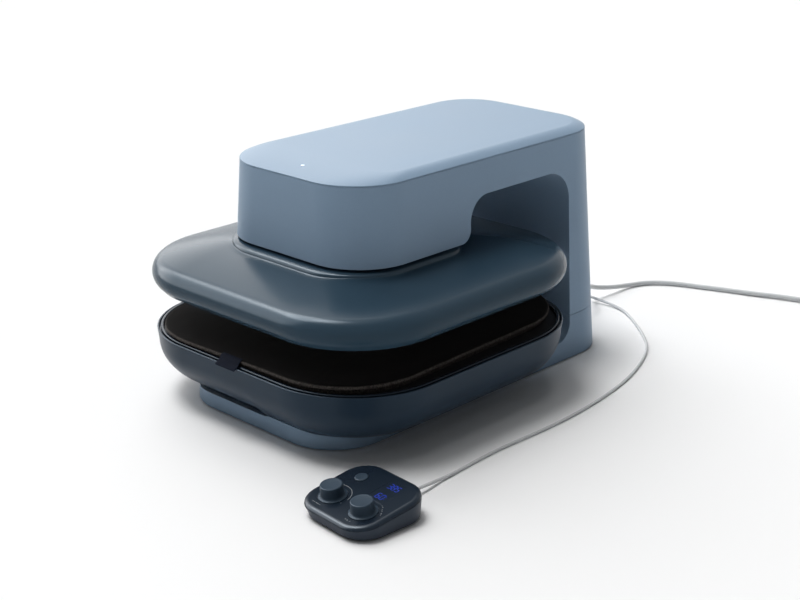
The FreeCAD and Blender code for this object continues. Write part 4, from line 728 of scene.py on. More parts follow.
def with_recess(ring):
    """A ring of the bowl, lifted a little over the finger slot at the front."""
    z = ring[0][2]
    lifted = []
    for x, y in denser([(x, y) for x, y, z in ring], 1, RECESS_CUTS):
        share = (1 - eased(x, RECESS_END_X)) * (1 - eased(y, RECESS_REAR_Y))
        lifted.append((x, y, z + RECESS_LIFT * share * (1 - eased(z, RECESS_TOP_Z))))
    return lifted


def moulded_bowl():
    shaft = BOWL_CURVE - WALL - BOWL_CURVE_INSET
    rings = bowl_side(0.0) + rolled_lip(LIP_STAND_OUT, GROOVE_OUTER, LIP_Z, LIP_ROUND)
    rings += [rim_ring(GROOVE_OUTER, LEDGE_Z), rim_ring(shaft, LEDGE_Z)]
    return loft("bowl_shell", [with_recess(ring) for ring in rings + bowl_side(-WALL)[::-1]])


bowl_shell = place_piece(soften(moulded_bowl()), "base", "dark_plastic", "lower_bowl")

# %% Trim ring and bed
trim = loft("trim_ring", rolled_lip(TRIM_OUTER, TRIM_INNER, TRIM_TOP_Z, TRIM_BEAD) + [
    rim_ring(TRIM_INNER, LEDGE_Z),
    rim_ring(GROOVE_OUTER - SEAT, LEDGE_Z),
    rim_ring(GROOVE_OUTER - SEAT, TRIM_FLANGE_Z),
    rim_ring(TRIM_OUTER, TRIM_FLANGE_Z),
], closed_loop=True)
place_piece(soften(trim), "base", "trim_plastic", "bowl_trim_ring")
bed = loft("bed", [
    rim_ring(TRIM_INNER - SEAT, BED_TOP_Z - BED_THICKNESS),
    rim_ring(TRIM_INNER - SEAT, BED_TOP_Z - BED_CHAMFER),
    rim_ring(TRIM_INNER - SEAT - BED_CHAMFER, BED_TOP_Z),
])
place_piece(soften(bed), "base", "black_coating", "bed_plate")

# %% [markdown]
# ## The upper platen
# Its cover flares a little at the lower edge, rolls over on a 20 mm radius and becomes a very shallow
# dome. Under the head it swells into a low neck with a soft foot and a rounded shoulder. Rings of the
# rim's outline pass step by step into rings of the neck's outline, so the skin is one smooth run.

# %% Platen cover
PLATEN = Plan(211.5, -216.7, 216.7, 114.0, 114.0)
PLATEN_EDGE_Z = 146.35
PLATEN_LIP = ((-0.9, 0.0), (-0.25, 0.2), (0.25, 0.8))
FLARE_OUT = 4.1
FLARE_UP = 4.55
ROLL_OVER = 20.0
ROLL_OVER_INSET = 10.8
ROLL_OVER_Z = 164.5
ROLL_OVER_END = math.radians(74.6)
ROLL_OVER_STEPS = 24
DOME_RADIUS = 510.0
DOME_MIDDLE_IN = ROLL_OVER_INSET + (DOME_RADIUS - ROLL_OVER) * math.cos(ROLL_OVER_END)
DOME_MIDDLE_Z = ROLL_OVER_Z - (DOME_RADIUS - ROLL_OVER) * math.sin(ROLL_OVER_END)
DOME_INSETS = (8.0, 12.0, 17.0, 23.0, 29.5, 36.0)
BLEND_STEPS = 12
NECK = Plan(134.0, -141.5, 68.0, 80.0, 42.0)
NECK_TOP_Z = 205.5
NECK_FOOT = 8.0
NECK_FOOT_STEPS = 8
NECK_FOOT_SHARE = 0.24
NECK_SHOULDER = 9.0
NECK_SHOULDER_STEPS = 10
NECK_HOLE_GAP = 0.5


def dome_z(x, y, shrink):
    """Height of the dome over a place, from its distance to the rim's outline."""
    over_x = abs(x) - PLATEN.half_width + PLATEN.rear_radius
    over_y = abs(y) - PLATEN.rear + PLATEN.rear_radius
    outside = math.hypot(max(over_x, 0.0), max(over_y, 0.0)) + min(max(over_x, over_y), 0.0)
    inset = min(PLATEN.rear_radius - outside, DOME_MIDDLE_IN)
    return DOME_MIDDLE_Z + math.sqrt((DOME_RADIUS - shrink) ** 2 - (DOME_MIDDLE_IN - inset) ** 2)


def skin_ring(points, feet, shrink, share):
    """Points raised from the dome under their feet by a share of the way to the neck's top."""
    heights = [dome_z(x, y, shrink) for x, y in feet]
    return [(x, y, z + (NECK_TOP_Z - shrink - z) * share) for (x, y), z in zip(points, heights)]


def platen_skin(shrink):
    """Rings from the lower edge over the roll and the dome to the top of the neck."""
    rim = partial(plan_ring, PLATEN)
    lip = [(-shrink, 0.0)] if shrink else PLATEN_LIP
    rings = [rim(grow, PLATEN_EDGE_Z + rise) for grow, rise in lip]
    radius = ROLL_OVER - shrink
    first = math.atan2(PLATEN_EDGE_Z + FLARE_UP - ROLL_OVER_Z, FLARE_OUT + ROLL_OVER_INSET)
    for angle in sweep(first, ROLL_OVER_END, ROLL_OVER_STEPS):
        rings.append(rim(radius * math.cos(angle) - ROLL_OVER_INSET, ROLL_OVER_Z + radius * math.sin(angle)))
    for inset in DOME_INSETS:
        start = grown(PLATEN, -inset)
        rings.append(skin_ring(start, start, shrink, 0.0))
    for step in range(1, BLEND_STEPS + 1):
        share = step / BLEND_STEPS
        points = [
            (x + (foot_x - x) * share, y + (foot_y - y) * share)
            for (x, y), (foot_x, foot_y) in zip(start, grown(NECK, NECK_FOOT - shrink))
        ]
        rings.append(skin_ring(points, points, shrink, 0.0))
    for angle in sweep(0.0, math.pi / 2, NECK_FOOT_STEPS, skip=1):
        points = grown(NECK, NECK_FOOT * (1 - math.sin(angle)) - shrink)
        rings.append(skin_ring(points, points, shrink, NECK_FOOT_SHARE * (1 - math.cos(angle))))
    for angle in sweep(0.0, math.pi / 2, NECK_SHOULDER_STEPS, skip=1):
        points = grown(NECK, -shrink - (NECK_SHOULDER - shrink) * (1 - math.cos(angle)))
        share = NECK_FOOT_SHARE + (1 - NECK_FOOT_SHARE) * math.sin(angle)
        rings.append(skin_ring(points, grown(NECK, -shrink), shrink, share))
    return rings


def moulded_platen():
    hole = [plan_ring(SHROUD, NECK_HOLE_GAP, z) for z in (NECK_TOP_Z, NECK_TOP_Z - WALL)]
    return loft("platen_shell", platen_skin(0.0) + hole + platen_skin(WALL)[::-1], closed_loop=True)


place_piece(soften(moulded_platen()), "platen", "dark_plastic", "platen_cover")

# %% [markdown]
# ## The pressing mat
# The mat is a thick pad of felted fabric: flat on top, full at its edge, and narrower below, where it
# drops inside the trim ring. Its rings come from the same outline helper. The edge is then stirred a
# little with smooth noise, because cut and pressed felt is never as even as a moulding.

# %% Mat
MAT = Plan(195.6, -218.4, 218.4, 106.0, 106.0)
MAT_TURN = math.radians(1.8)
MAT_MIDDLE_X = -3.0
MAT_CORNER_CUTS = 3
MAT_STRAIGHT_CUTS = 80
MAT_UNDERSIDE_Z = 91.0
MAT_FLAT_Z = 98.5
MAT_WAVES = ((38.0, 0.55), (110.0, 0.1375), (420.0, 0.35))
MAT_STIR_OUT = 0.6
MAT_STIR_UP = 0.5
MAT_STIR_LIMIT = 0.3
MAT_SECTIONS = [
    (60.0, 88.0), (5.4, 88.0), (5.0, 89.4), (4.9, 91.6), (4.6, 93.4), (2.8, 93.9), (1.1, 94.6), (0.3, 95.6),
    (0.0, 96.8), (0.3, 98.1), (1.0, 99.1), (2.0, 99.7), (3.4, 99.95), (6.0, 100.0), (14.0, 100.0),
    (30.0, 99.9), (60.0, 99.8), (95.0, 99.8),
]


def mat_ring(inset, z):
    turned = []
    for x, y in denser(grown(MAT, -inset), MAT_CORNER_CUTS, MAT_STRAIGHT_CUTS):
        turned.append((
            MAT_MIDDLE_X + x * math.cos(MAT_TURN) - y * math.sin(MAT_TURN),
            x * math.sin(MAT_TURN) + y * math.cos(MAT_TURN),
            z,
        ))
    return turned


def pressed_mat():
    mat = loft("mat_pad", [mat_ring(inset, z) for inset, z in MAT_SECTIONS])
    bm = bmesh.new()
    bm.from_mesh(mat.data)
    for vert in bm.verts:
        if vert.co.z < MAT_UNDERSIDE_Z * MM:
            continue
        wave = sum(noise.noise(vert.co * scale) * depth for scale, depth in MAT_WAVES)
        outward = Vector((vert.co.x, vert.co.y, 0.0)).normalized()
        vert.co += outward * wave * MAT_STIR_OUT * MM
        if vert.co.z > MAT_FLAT_Z * MM:
            vert.co.z += min(wave, MAT_STIR_LIMIT) * MAT_STIR_UP * MM
    bm.normal_update()
    bm.to_mesh(mat.data)
    bm.free()
    mat.data.shade_smooth()
    return mat


mat = place_piece(pressed_mat(), "base", "mat_fabric", "mat")

# %% [markdown]
# ### The tag
# A short folded ribbon is sewn to the mat's front edge and hangs over the lip. It is one strip,
# extruded along its path point by point and given its thickness by Solidify.

# %% Tag
TAG_LEFT = -18.0
TAG_RIGHT = 18.0
TAG_THICKNESS = 0.8
TAG_CUTS = 11
TAG_PATH = [
    (-214.2, 100.45), (-216.5, 100.30), (-218.6, 99.40), (-220.5, 97.60), (-221.8, 95.60),
    (-223.3, 93.80), (-225.9, 92.15), (-228.2, 90.55), (-229.7, 88.95),
]


def hung_tag():
    bm = bmesh.new()
    start_y, start_z = TAG_PATH[0]
    verts = [bm.verts.new((x * MM, start_y * MM, start_z * MM)) for x in (TAG_LEFT, TAG_RIGHT)]
    bmesh.ops.subdivide_edges(bm, edges=[bm.edges.new(verts)], cuts=TAG_CUTS)
    row = list(bm.edges)
    for before, after in zip(TAG_PATH, TAG_PATH[1:]):
        made = bmesh.ops.extrude_edge_only(bm, edges=row)
        fresh = new_verts(made)
        step = Vector((0, after[0] - before[0], after[1] - before[1])) * MM
        bmesh.ops.translate(bm, verts=fresh, vec=step)
        row = [item for item in made["geom"] if isinstance(item, bmesh.types.BMEdge)
               and all(vert in fresh for vert in item.verts)]
    tag = new_object("tag_ribbon", bm)
    thick = tag.modifiers.new("Solidify", "SOLIDIFY")
    thick.thickness = TAG_THICKNESS * MM
    thick.offset = 0.0
    round_edge = tag.modifiers.new("Subdivision", "SUBSURF")
    round_edge.levels = 2
    round_edge.render_levels = 2
    bake(tag)
    tag.data.shade_smooth()
    return tag


tag = place_piece(hung_tag(), "base", "tag_fabric", "mat_tag")

# %% [markdown]
# ## The control pod
# The pod is a small leaning box with a top that slopes towards the user. Its pieces are made in the
# pod's own frame, with the origin on the table under its middle, and are then turned into place.

# %% Pod helpers
POD = Plan(56.2, -53.2, 53.2, 31.3, 31.3)
POD_HEIGHT = 23.3
POD_SLOPE = math.atan(0.14)
POD_SIDE_LEAN = 0.1055
POD_BOTTOM_SHIFT = 2.8
POD_FLOOR = 1.5
POD_RING_PASSES = 3
POD_WALL = 2.0
FACE_RISE = 1.5
FACE_THICKNESS = 3.5
FACE = POD._replace(front=POD.front / math.cos(POD_SLOPE), rear=POD.rear / math.cos(POD_SLOPE))

tilted_frame = pod_frame @ Matrix.Translation((0, 0, POD_HEIGHT * MM)) @ Matrix.Rotation(POD_SLOPE, 4, "X")


def to_pod(piece, frame_matrix):
    """Move a piece's mesh from its own frame to its place on the table."""
    piece.data.transform(frame_matrix)
    piece.data.update()
    return piece


def pod_outline(z, inset):
    below = (POD_HEIGHT - z) * POD_SIDE_LEAN
    shift = POD_BOTTOM_SHIFT * (POD_HEIGHT - z) / POD_HEIGHT
    return grown(POD._replace(
        half_width=POD.half_width - below, front=shift + POD.front + below, rear=shift + POD.rear - below,
    ), -inset)


def pod_ring(share, inset, drop):
    """A ring at a share of the way from the pod's level bottom to its sloped top."""
    places = level(pod_outline(POD_HEIGHT, inset), POD_HEIGHT)
    for _ in range(POD_RING_PASSES):
        for index, (x, y, z) in enumerate(places):
            top = POD_HEIGHT + y * math.tan(POD_SLOPE) - drop
            height = POD_FLOOR + share * (top - POD_FLOOR)
            places[index] = (*pod_outline(height, inset)[index], height)
    return places


def face_ring(inset, z):
    return plan_ring(FACE, -inset, z)

# %% [markdown]
# ### Body and top plate
# The body's wall is rounded under its foot and ends a little below the top. The top plate closes it
# with a broad rolled edge of its own, and the fine dark line between the two is the parting line.

# %% Pod body and top plate
PARTING_DROP = 3.6
POD_SECTIONS = (
    (0.0, 1.6, 0.0), (0.02, 0.9, 0.0), (0.06, 0.25, 0.0), (0.12, 0.0, 0.0), (0.5, 0.0, PARTING_DROP),
    (0.97, 0.0, PARTING_DROP), (1.0, 0.25, PARTING_DROP), (1.0, POD_WALL, PARTING_DROP),
    (0.4, POD_WALL, 0.0), (0.0, POD_WALL, 0.0),
)
CORD_HOLE = ((5.0, 46.0, 8.0), (5.0, 60.0, 8.0))
CORD_HOLE_RADIUS = 3.2
PLATE_LIFT = 0.35
PLATE_LIP = ((0.9, 0.0), (0.6, 0.2))
PLATE_EDGE_IN = 0.55
PLATE_ROLL_IN = 6.2
PLATE_ROLL_DOWN = 4.4
PLATE_ROLL_STEPS = 14
DIAL_X = 25.6
DIAL_Y = -20.5
DIAL_RADIUS = 13.0
DIAL_HEIGHT = 14.5
DIAL_SKIRT = 16.6
DIAL_GAP = 0.7
SHAFT_HOLE = 3.6
BUTTON_X = -27.9
BUTTON_Y = 23.0
BUTTON_RADIUS = 7.8
BUTTON_GAP = 0.25
DISPLAY_X = 17.5
DISPLAY_Y = 20.5
DISPLAY_HALF_WIDTH = 13.5
DISPLAY_HALF_DEPTH = 19.5
DISPLAY_CORNER = 1.0
DISPLAY_GAP = 0.08
THROUGH = 9.0


def window_ring(grow, z):
    half_depth = DISPLAY_HALF_DEPTH + grow
    points = outline(DISPLAY_HALF_WIDTH + grow, -half_depth, half_depth, DISPLAY_CORNER, DISPLAY_CORNER)
    return [(x + DISPLAY_X, y + DISPLAY_Y, z) for x, y in points]


def upright_hole(radius, x, y, bottom, segments):
    return round_cutter(radius, (x, y, bottom), (x, y, THROUGH), segments)


def moulded_pod():
    shell = loft("pod_body", [pod_ring(*section) for section in POD_SECTIONS], closed_loop=True)
    combine(shell, round_cutter(CORD_HOLE_RADIUS, *CORD_HOLE, 32))
    return to_pod(shell, pod_frame)


def moulded_face():
    under = PLATE_LIFT - PARTING_DROP
    edge = FACE_RISE - PLATE_ROLL_DOWN
    rings = [face_ring(inset, under + rise) for inset, rise in PLATE_LIP]
    for angle in sweep(0.0, math.pi / 2, PLATE_ROLL_STEPS):
        inset = PLATE_EDGE_IN + PLATE_ROLL_IN * (1 - math.cos(angle))
        rings.append(face_ring(inset, edge + PLATE_ROLL_DOWN * math.sin(angle)))
    plate = loft("pod_top_plate", rings)
    for x in (-DIAL_X, DIAL_X):
        combine(plate, upright_hole(DIAL_SKIRT + DIAL_GAP, x, DIAL_Y, FACE_RISE - 1, 64))
        combine(plate, upright_hole(SHAFT_HOLE, x, DIAL_Y, -THROUGH, 32))
    combine(plate, upright_hole(BUTTON_RADIUS + BUTTON_GAP, BUTTON_X, BUTTON_Y, -THROUGH, 48))
    combine(plate, loft("cutter", [window_ring(DISPLAY_GAP, z) for z in (-THROUGH, THROUGH)]))
    return to_pod(plate, tilted_frame)


pod_body = place_piece(soften(moulded_pod(), angle=40.0), "base", "dark_plastic", "pod_shell")
pod_plate = place_piece(soften(moulded_face(), angle=40.0), "base", "dark_plastic", "pod_face")

# %% [markdown]
# ### The dials
# A dial is a turned form, so its half profile is spun about its axis: a flared skirt, a waisted side
# and a slightly dished cap. The profile's steps are written as shifts from the dial's own radii.

# %% Dials
DIAL_SUNK = 0.6
DIAL_DISH = 0.45
DIAL_STEPS = 96
DIAL_FLARE = ((-0.5, 0.0), (-0.1, 0.25), (0.0, 0.7), (-0.1, 1.1), (-0.4, 1.4), (-0.85, 1.5), (-1.6, 1.55))
DIAL_WAIST = ((1.1, 2.2), (0.6, 3.4), (0.3, 4.6))
DIAL_CAP = (
    (0.0, -3.0), (-0.15, -1.1), (-0.45, -0.5), (-0.95, -0.12), (-1.5, 0.0), (-2.3, -0.1), (-4.0, -0.3),
)


def spun(name, profile, steps):
    """A closed solid of revolution from (radius, height) pairs that start and end on the axis."""
    bm = bmesh.new()
    verts = [bm.verts.new((radius * MM, 0, z * MM)) for radius, z in profile]
    edges = [bm.edges.new(pair) for pair in zip(verts, verts[1:])]
    bmesh.ops.spin(
        bm, geom=verts + edges, cent=(0, 0, 0), axis=(0, 0, 1), angle=2 * math.pi,
        steps=steps, use_merge=True,
    )
    bmesh.ops.remove_doubles(bm, verts=bm.verts, dist=1e-6)
    return new_object(name, bm)


def shifted(pairs, radius, height):
    return [(radius + out, height + up) for out, up in pairs]


def on_face(piece, x, y):
    piece.data.transform(Matrix.Translation((x * MM, y * MM, 0)))
    return soften(to_pod(piece, tilted_frame), angle=45.0)


def turned_dial(name, x):
    foot = FACE_RISE - DIAL_SUNK
    top = FACE_RISE + DIAL_HEIGHT
    profile = shifted(DIAL_FLARE, DIAL_SKIRT, foot) + shifted(DIAL_WAIST, DIAL_RADIUS, foot)
    profile += shifted(DIAL_CAP, DIAL_RADIUS, top)
    return on_face(spun(name, [(0.0, foot), *profile, (0.0, top - DIAL_DISH)], DIAL_STEPS), x, DIAL_Y)


place_piece(turned_dial("temperature_cap", -DIAL_X), "temperature_knob", "dial_plastic", "temperature_dial")
place_piece(turned_dial("time_cap", DIAL_X), "time_knob", "dial_plastic", "time_dial")

# %% [markdown]
# ### Button, display and printed marks
# The button is a low spun cap. The display is a dark window in which two lit values stand: generic
# seven-segment figures, made from one short bar that is bevelled and placed segment by segment. The
# printed marks round the dials are plain dots, dashes and an arc.

# %% Button and display window
BUTTON_TOP = FACE_RISE + 1.3
BUTTON_EDGE = ((0.0, -0.8), (-0.2, -0.35), (-0.8, -0.05), (-1.6, 0.0), (-4.0, -0.12))
GLASS_SECTIONS = ((0.0, -FACE_THICKNESS - 1.0), (0.0, -0.2), (-0.25, -0.05))


def low_button():
    bottom = FACE_RISE - FACE_THICKNESS
    edge = shifted(BUTTON_EDGE, BUTTON_RADIUS, BUTTON_TOP)
    profile = [(0.0, bottom), (BUTTON_RADIUS, bottom), *edge, (0.0, BUTTON_TOP - 0.2)]
    return on_face(spun("button_cap", profile, 64), BUTTON_X, BUTTON_Y)


place_piece(low_button(), "button", "dial_plastic", "power_button")
glass = loft("display_glass", [window_ring(grow, FACE_RISE + rise) for grow, rise in GLASS_SECTIONS])
place_piece(soften(to_pod(glass, tilted_frame)), "base", "display_window", "pod_display")

# %% Figures and marks
SEGMENTS = {"0": "abcdef", "3": "abgcd", "5": "afgcd", "6": "afgedc", "8": "abcdefg"}
SEGMENT_PLACES = {
    "a": (0.5, 1.0, 0), "b": (1.0, 0.75, 90), "c": (1.0, 0.25, 90), "d": (0.5, 0.0, 0),
    "e": (0.0, 0.25, 90), "f": (0.0, 0.75, 90), "g": (0.5, 0.5, 0),
}
FIGURE_X = 17.6
FIGURE_WIDTH = 4.1
FIGURE_HEIGHT = 8.6
ACROSS_SHARE = 0.86
UPRIGHT_SHARE = 0.43
CLIP_SHARE = 0.42
SEGMENT_WIDTH = 0.95
UPPER_VALUE = ("385", 31.4, 5.9)
LOWER_VALUE = ("60", 11.0, 6.4)
UNIT_DOTS = ((25.2, 9.0), (25.2, 13.0))
UNIT_DOT_SIZE = 0.9
FIGURE_LIFT = 0.12
MARK_LIFT = 0.06
ARC_MIDDLE = (-26.1, -19.2)
ARC_RADIUS = 20.6
ARC_START = 112.0
ARC_PITCH = 4.4
ARC_STEPS = 24
ARC_OVERLAP = 0.25
ARC_WIDTH = 0.40
DOTS = (
    (-34.2, -41.0), (-31.6, -41.3), (-28.0, -41.4), (-25.6, -41.6), (-22.4, -41.5), (20.9, -41.6),
    (24.0, -41.8), (28.0, -41.5), (-9.6, -24.4), (-6.6, -24.9), (33.6, -0.2), (36.0, -1.8), (38.9, -5.2),
    (40.8, -7.0), (43.8, -11.0), (45.2, -13.4),
)
DOT_SIZE = (1.25, 0.60)
DOT_TURN = 62


def add_bar(bm, x, y, length, width, turn, height):
    """One flat bar with clipped corners, added to a bmesh; two thirds of it stand over the plate."""
    made = bmesh.ops.create_cube(bm, size=1.0)["verts"]
    bmesh.ops.scale(bm, vec=(length * MM, width * MM, height * MM), verts=made)
    corners = [
        edge for edge in {edge for vert in made for edge in vert.link_edges}
        if abs(edge.verts[0].co.z - edge.verts[1].co.z) > height * MM / 2
    ]
    clip = CLIP_SHARE * min(length, width) * MM
    shaped = bmesh.ops.bevel(
        bm, geom=corners, offset=clip, affect="EDGES", segments=3, profile=0.5, material=-1,
    )
    verts = list({vert for face in shaped["faces"] for vert in face.verts})
    seen = {vert for vert in verts for edge in vert.link_edges for vert in edge.verts}
    z = FACE_RISE + height / 6
    place = Matrix.Translation((x * MM, y * MM, z * MM)) @ Matrix.Rotation(math.radians(turn), 4, "Z")
    bmesh.ops.transform(bm, matrix=place, verts=list(seen | set(verts)))


def add_value(bm, text, middle_y, pitch):
    start = FIGURE_X - pitch * (len(text) - 1) / 2
    low = middle_y - FIGURE_HEIGHT / 2
    for index, figure in enumerate(text):
        left = start + pitch * index - FIGURE_WIDTH / 2
        for name in SEGMENTS[figure]:
            share_x, share_y, turn = SEGMENT_PLACES[name]
            length = FIGURE_HEIGHT * UPRIGHT_SHARE if turn else FIGURE_WIDTH * ACROSS_SHARE
            add_bar(bm, left + share_x * FIGURE_WIDTH, low + share_y * FIGURE_HEIGHT, length,
                    SEGMENT_WIDTH, turn, FIGURE_LIFT)


def lit_values():
    bm = bmesh.new()
    for text, middle_y, pitch in (UPPER_VALUE, LOWER_VALUE):
        add_value(bm, text, middle_y, pitch)
    for x, y in UNIT_DOTS:
        add_bar(bm, x, y, UNIT_DOT_SIZE, UNIT_DOT_SIZE, 0, FIGURE_LIFT)
    return to_pod(new_object("display_values", bm), tilted_frame)


def printed_marks():
    bm = bmesh.new()
    length = math.radians(ARC_PITCH) * ARC_RADIUS + ARC_OVERLAP
    for step in range(ARC_STEPS):
        angle = math.radians(ARC_START - ARC_PITCH * step)
        x = ARC_MIDDLE[0] + ARC_RADIUS * math.cos(angle)
        y = ARC_MIDDLE[1] + ARC_RADIUS * math.sin(angle)
        add_bar(bm, x, y, length, ARC_WIDTH, math.degrees(angle) + 90, MARK_LIFT)
    for x, y in DOTS:
        add_bar(bm, x, y, *DOT_SIZE, DOT_TURN, MARK_LIFT)
    return to_pod(new_object("printed_marks", bm), tilted_frame)


values = place_piece(lit_values(), "base", "light_lens")
marks = place_piece(printed_marks(), "base", "dial_plastic")

# %% [markdown]
# ### Strain reliefs and the plug
# Where a cord leaves a wall it sits in a moulded sleeve that tapers towards the tip and is cut into
# ribs, so that it bends a little. Each is one spun profile, laid over so that its axis points back.
# The plug's grip is a loft along the same axis, from the sleeve to the flat contact face.

# %% Ribbed sleeves
LAID_BACK = Matrix.Rotation(math.radians(-90), 4, "X")
RUNNING_GAP = 0.25
RIB_DEPTH = 0.7
ROUND_STEPS = 40
WALL_NECK = 3.4
WALL_SLEEVES = (
    ("power_sleeve", "power_cord_relief", POWER_EXIT_X, 7.0, 4.6, 35.0, 6),
    ("pod_socket", "pod_cord_socket", POD_EXIT_X, 5.5, 2.8, 14.0, 3),
)
POD_SLEEVE_X = 5.0
POD_SLEEVE_Z = 8.0


def sleeve_profile(radius, tip_radius, length, seat, ribs, neck):
    """Half profile of a sleeve: flange and neck inside the wall, then ribs that get smaller."""
    profile = [
        (0.0, -neck - 1.9), (radius + 0.8, -neck - 1.9), (radius + 0.8, -neck - 0.2),
        (radius - 1.2, -neck - 0.2), (radius - 1.2, seat), (radius - 0.3, seat), (radius, seat + 0.4),
    ]
    pitch = (length - seat - 2.0) / ribs
    for rib in range(ribs):
        start = seat + 1.2 + pitch * rib
        here = radius + (tip_radius - radius) * (start / length)
        there = radius + (tip_radius - radius) * ((start + 0.62 * pitch) / length)
        profile += [
            (here - 0.1, start), (here - RIB_DEPTH, start + 0.10 * pitch),
            (there - RIB_DEPTH, start + 0.42 * pitch), (there - 0.1, start + 0.52 * pitch),
            (there, start + 0.62 * pitch),
        ]
    return profile + [(tip_radius, length - 0.4), (tip_radius - 0.4, length), (0.0, length)]


def sleeve(name, profile, place, frame_matrix):
    piece = spun(name, profile, ROUND_STEPS)
    piece.data.transform(Matrix.Translation(Vector(place) * MM) @ LAID_BACK)
    return soften(to_pod(piece, frame_matrix), angle=40.0)


for name, node, x, radius, tip_radius, length, ribs in WALL_SLEEVES:
    seat = END_LEAN * radius + RUNNING_GAP
    profile = sleeve_profile(radius, tip_radius, length, seat, ribs, WALL_NECK)
    place = (x, REAR_Y - END_LEAN * EXIT_Z, EXIT_Z)
    place_piece(sleeve(name, profile, place, Matrix()), "base", "cord_jacket", node)
drop = POD_HEIGHT - POD_SLEEVE_Z
pod_rear = POD.rear + POD_BOTTOM_SHIFT * drop / POD_HEIGHT - drop * POD_SIDE_LEAN
profile = sleeve_profile(4.2, 2.7, 12.0, 1.2, 3, 3.2)
pod_sleeve = sleeve("pod_sleeve", profile, (POD_SLEEVE_X, pod_rear, POD_SLEEVE_Z), pod_frame)
place_piece(pod_sleeve, "base", "cord_jacket", "pod_cord_relief")

# %% Plug
PLUG_HALF_WIDTH = 13.0
PLUG_HALF_HEIGHT = 11.0
PLUG_SLEEVE = 26.0
PLUG_RIBS = 5
PLUG_RIB_START = 2.0
PLUG_RIB_PITCH = 4.4
PLUG_RIB = ((0.0, 0.0), (-0.7, 0.5), (-0.6, 2.0), (0.3, 2.5), (0.45, 4.0))
PLUG_TIP_RADIUS = 5.0
PLUG_ROOT_RADIUS = 8.0
PLUG_SECTIONS = [
    (24.0, 6.5, 5.5, 4.0), (24.6, 4.6, 3.6, 4.6), (26.5, 3.7, 2.7, 5.0), (31.0, 2.2, 1.9, 5.0),
    (36.0, 1.3, 1.4, 5.0), (43.0, 0.5, 0.6, 5.0), (50.0, 0.0, 0.0, 5.0), (58.8, 0.0, 0.0, 5.0),
    (59.6, 0.3, 0.3, 4.7), (60.0, 1.1, 1.1, 4.0),
]


def moulded_plug():
    rings = []
    for along, narrower, lower, corner in PLUG_SECTIONS:
        half_height = PLUG_HALF_HEIGHT - lower
        points = outline(PLUG_HALF_WIDTH - narrower, -half_height, half_height, corner, corner)
        rings.append([(x, along, height) for x, height in points])
    grip = loft("plug_grip", rings)
    profile = [(0.0, 0.2), (PLUG_TIP_RADIUS - 0.4, 0.2), (PLUG_TIP_RADIUS, 0.6)]
    for rib in range(PLUG_RIBS):
        start = PLUG_RIB_START + PLUG_RIB_PITCH * rib
        radius = PLUG_TIP_RADIUS + (PLUG_ROOT_RADIUS - PLUG_TIP_RADIUS) * start / PLUG_SLEEVE
        profile += shifted(PLUG_RIB, radius, start)
    profile += [(PLUG_ROOT_RADIUS, PLUG_SLEEVE), (0.0, PLUG_SLEEVE)]
    tail = spun("plug_tail", profile, ROUND_STEPS)
    tail.data.transform(LAID_BACK)
    combine(grip, tail, operation="UNION")
    turn = math.atan2(plug_heading.y, plug_heading.x) - math.pi / 2
    grip.data.transform(Matrix.Translation(plug_place) @ Matrix.Rotation(turn, 4, "Z"))
    return soften(grip, angle=40.0)


plug = place_piece(moulded_plug(), "base", "cord_jacket", "power_plug")

# %% [markdown]
# ### The status light
# A small clear lens stands in the cover's front roll. It is one spun profile with a flange under the
# skin, and its height follows from the cover's crown at that place.

# %% Status light
LENS_FLANGE = 4.4
LENS_RIM = ((0.0, -4.3), (0.0, -0.5), (-0.25, -0.15), (-0.8, 0.0))

light_share = (LIGHT_Y - drafted(HEAD, COVER_SEAM_Z).front) / ROLL_FRONT_INSET
lens_top = COVER_SEAM_Z + crown_height(light_share)
flange = [(0.0, lens_top - 6.8), (LENS_FLANGE, lens_top - 6.8), (LENS_FLANGE, lens_top - 4.3)]
rim = shifted(LENS_RIM, LIGHT_RADIUS, lens_top)
lens = spun("status_lens", [*flange, *rim, (0.0, lens_top + 0.1)], ROUND_STEPS)
lens.data.transform(Matrix.Translation((0, LIGHT_Y * MM, 0)))
place_piece(soften(lens, angle=40.0), "arm", "light_lens", "status_light")

# %% [markdown]

# %% [markdown]
# ## Finishes
# A finish is a small node tree. Most of them share a pattern: a broad noise that shifts colour and
# roughness a little, as handling and moulding do, and a fine noise that only reaches the bump. The
# helper builds that pattern and hands back the places where a finish can add what it alone needs. A
# node's input is given either a plain value or the output that feeds it.

# %% Finish helper
NOISE_LOW = 0.3
NOISE_HIGH = 0.7


def feed(socket, value):
    if isinstance(value, bpy.types.NodeSocket):
        socket.id_data.links.new(value, socket)
    else:
        socket.default_value = value


def add_node(tree, kind, inputs=None, **settings):
    made = tree.nodes.new("ShaderNode" + kind)
    for key, value in settings.items():
        setattr(made, key, value)
    for key, value in (inputs or {}).items():
        feed(made.inputs[key], value)
    return made


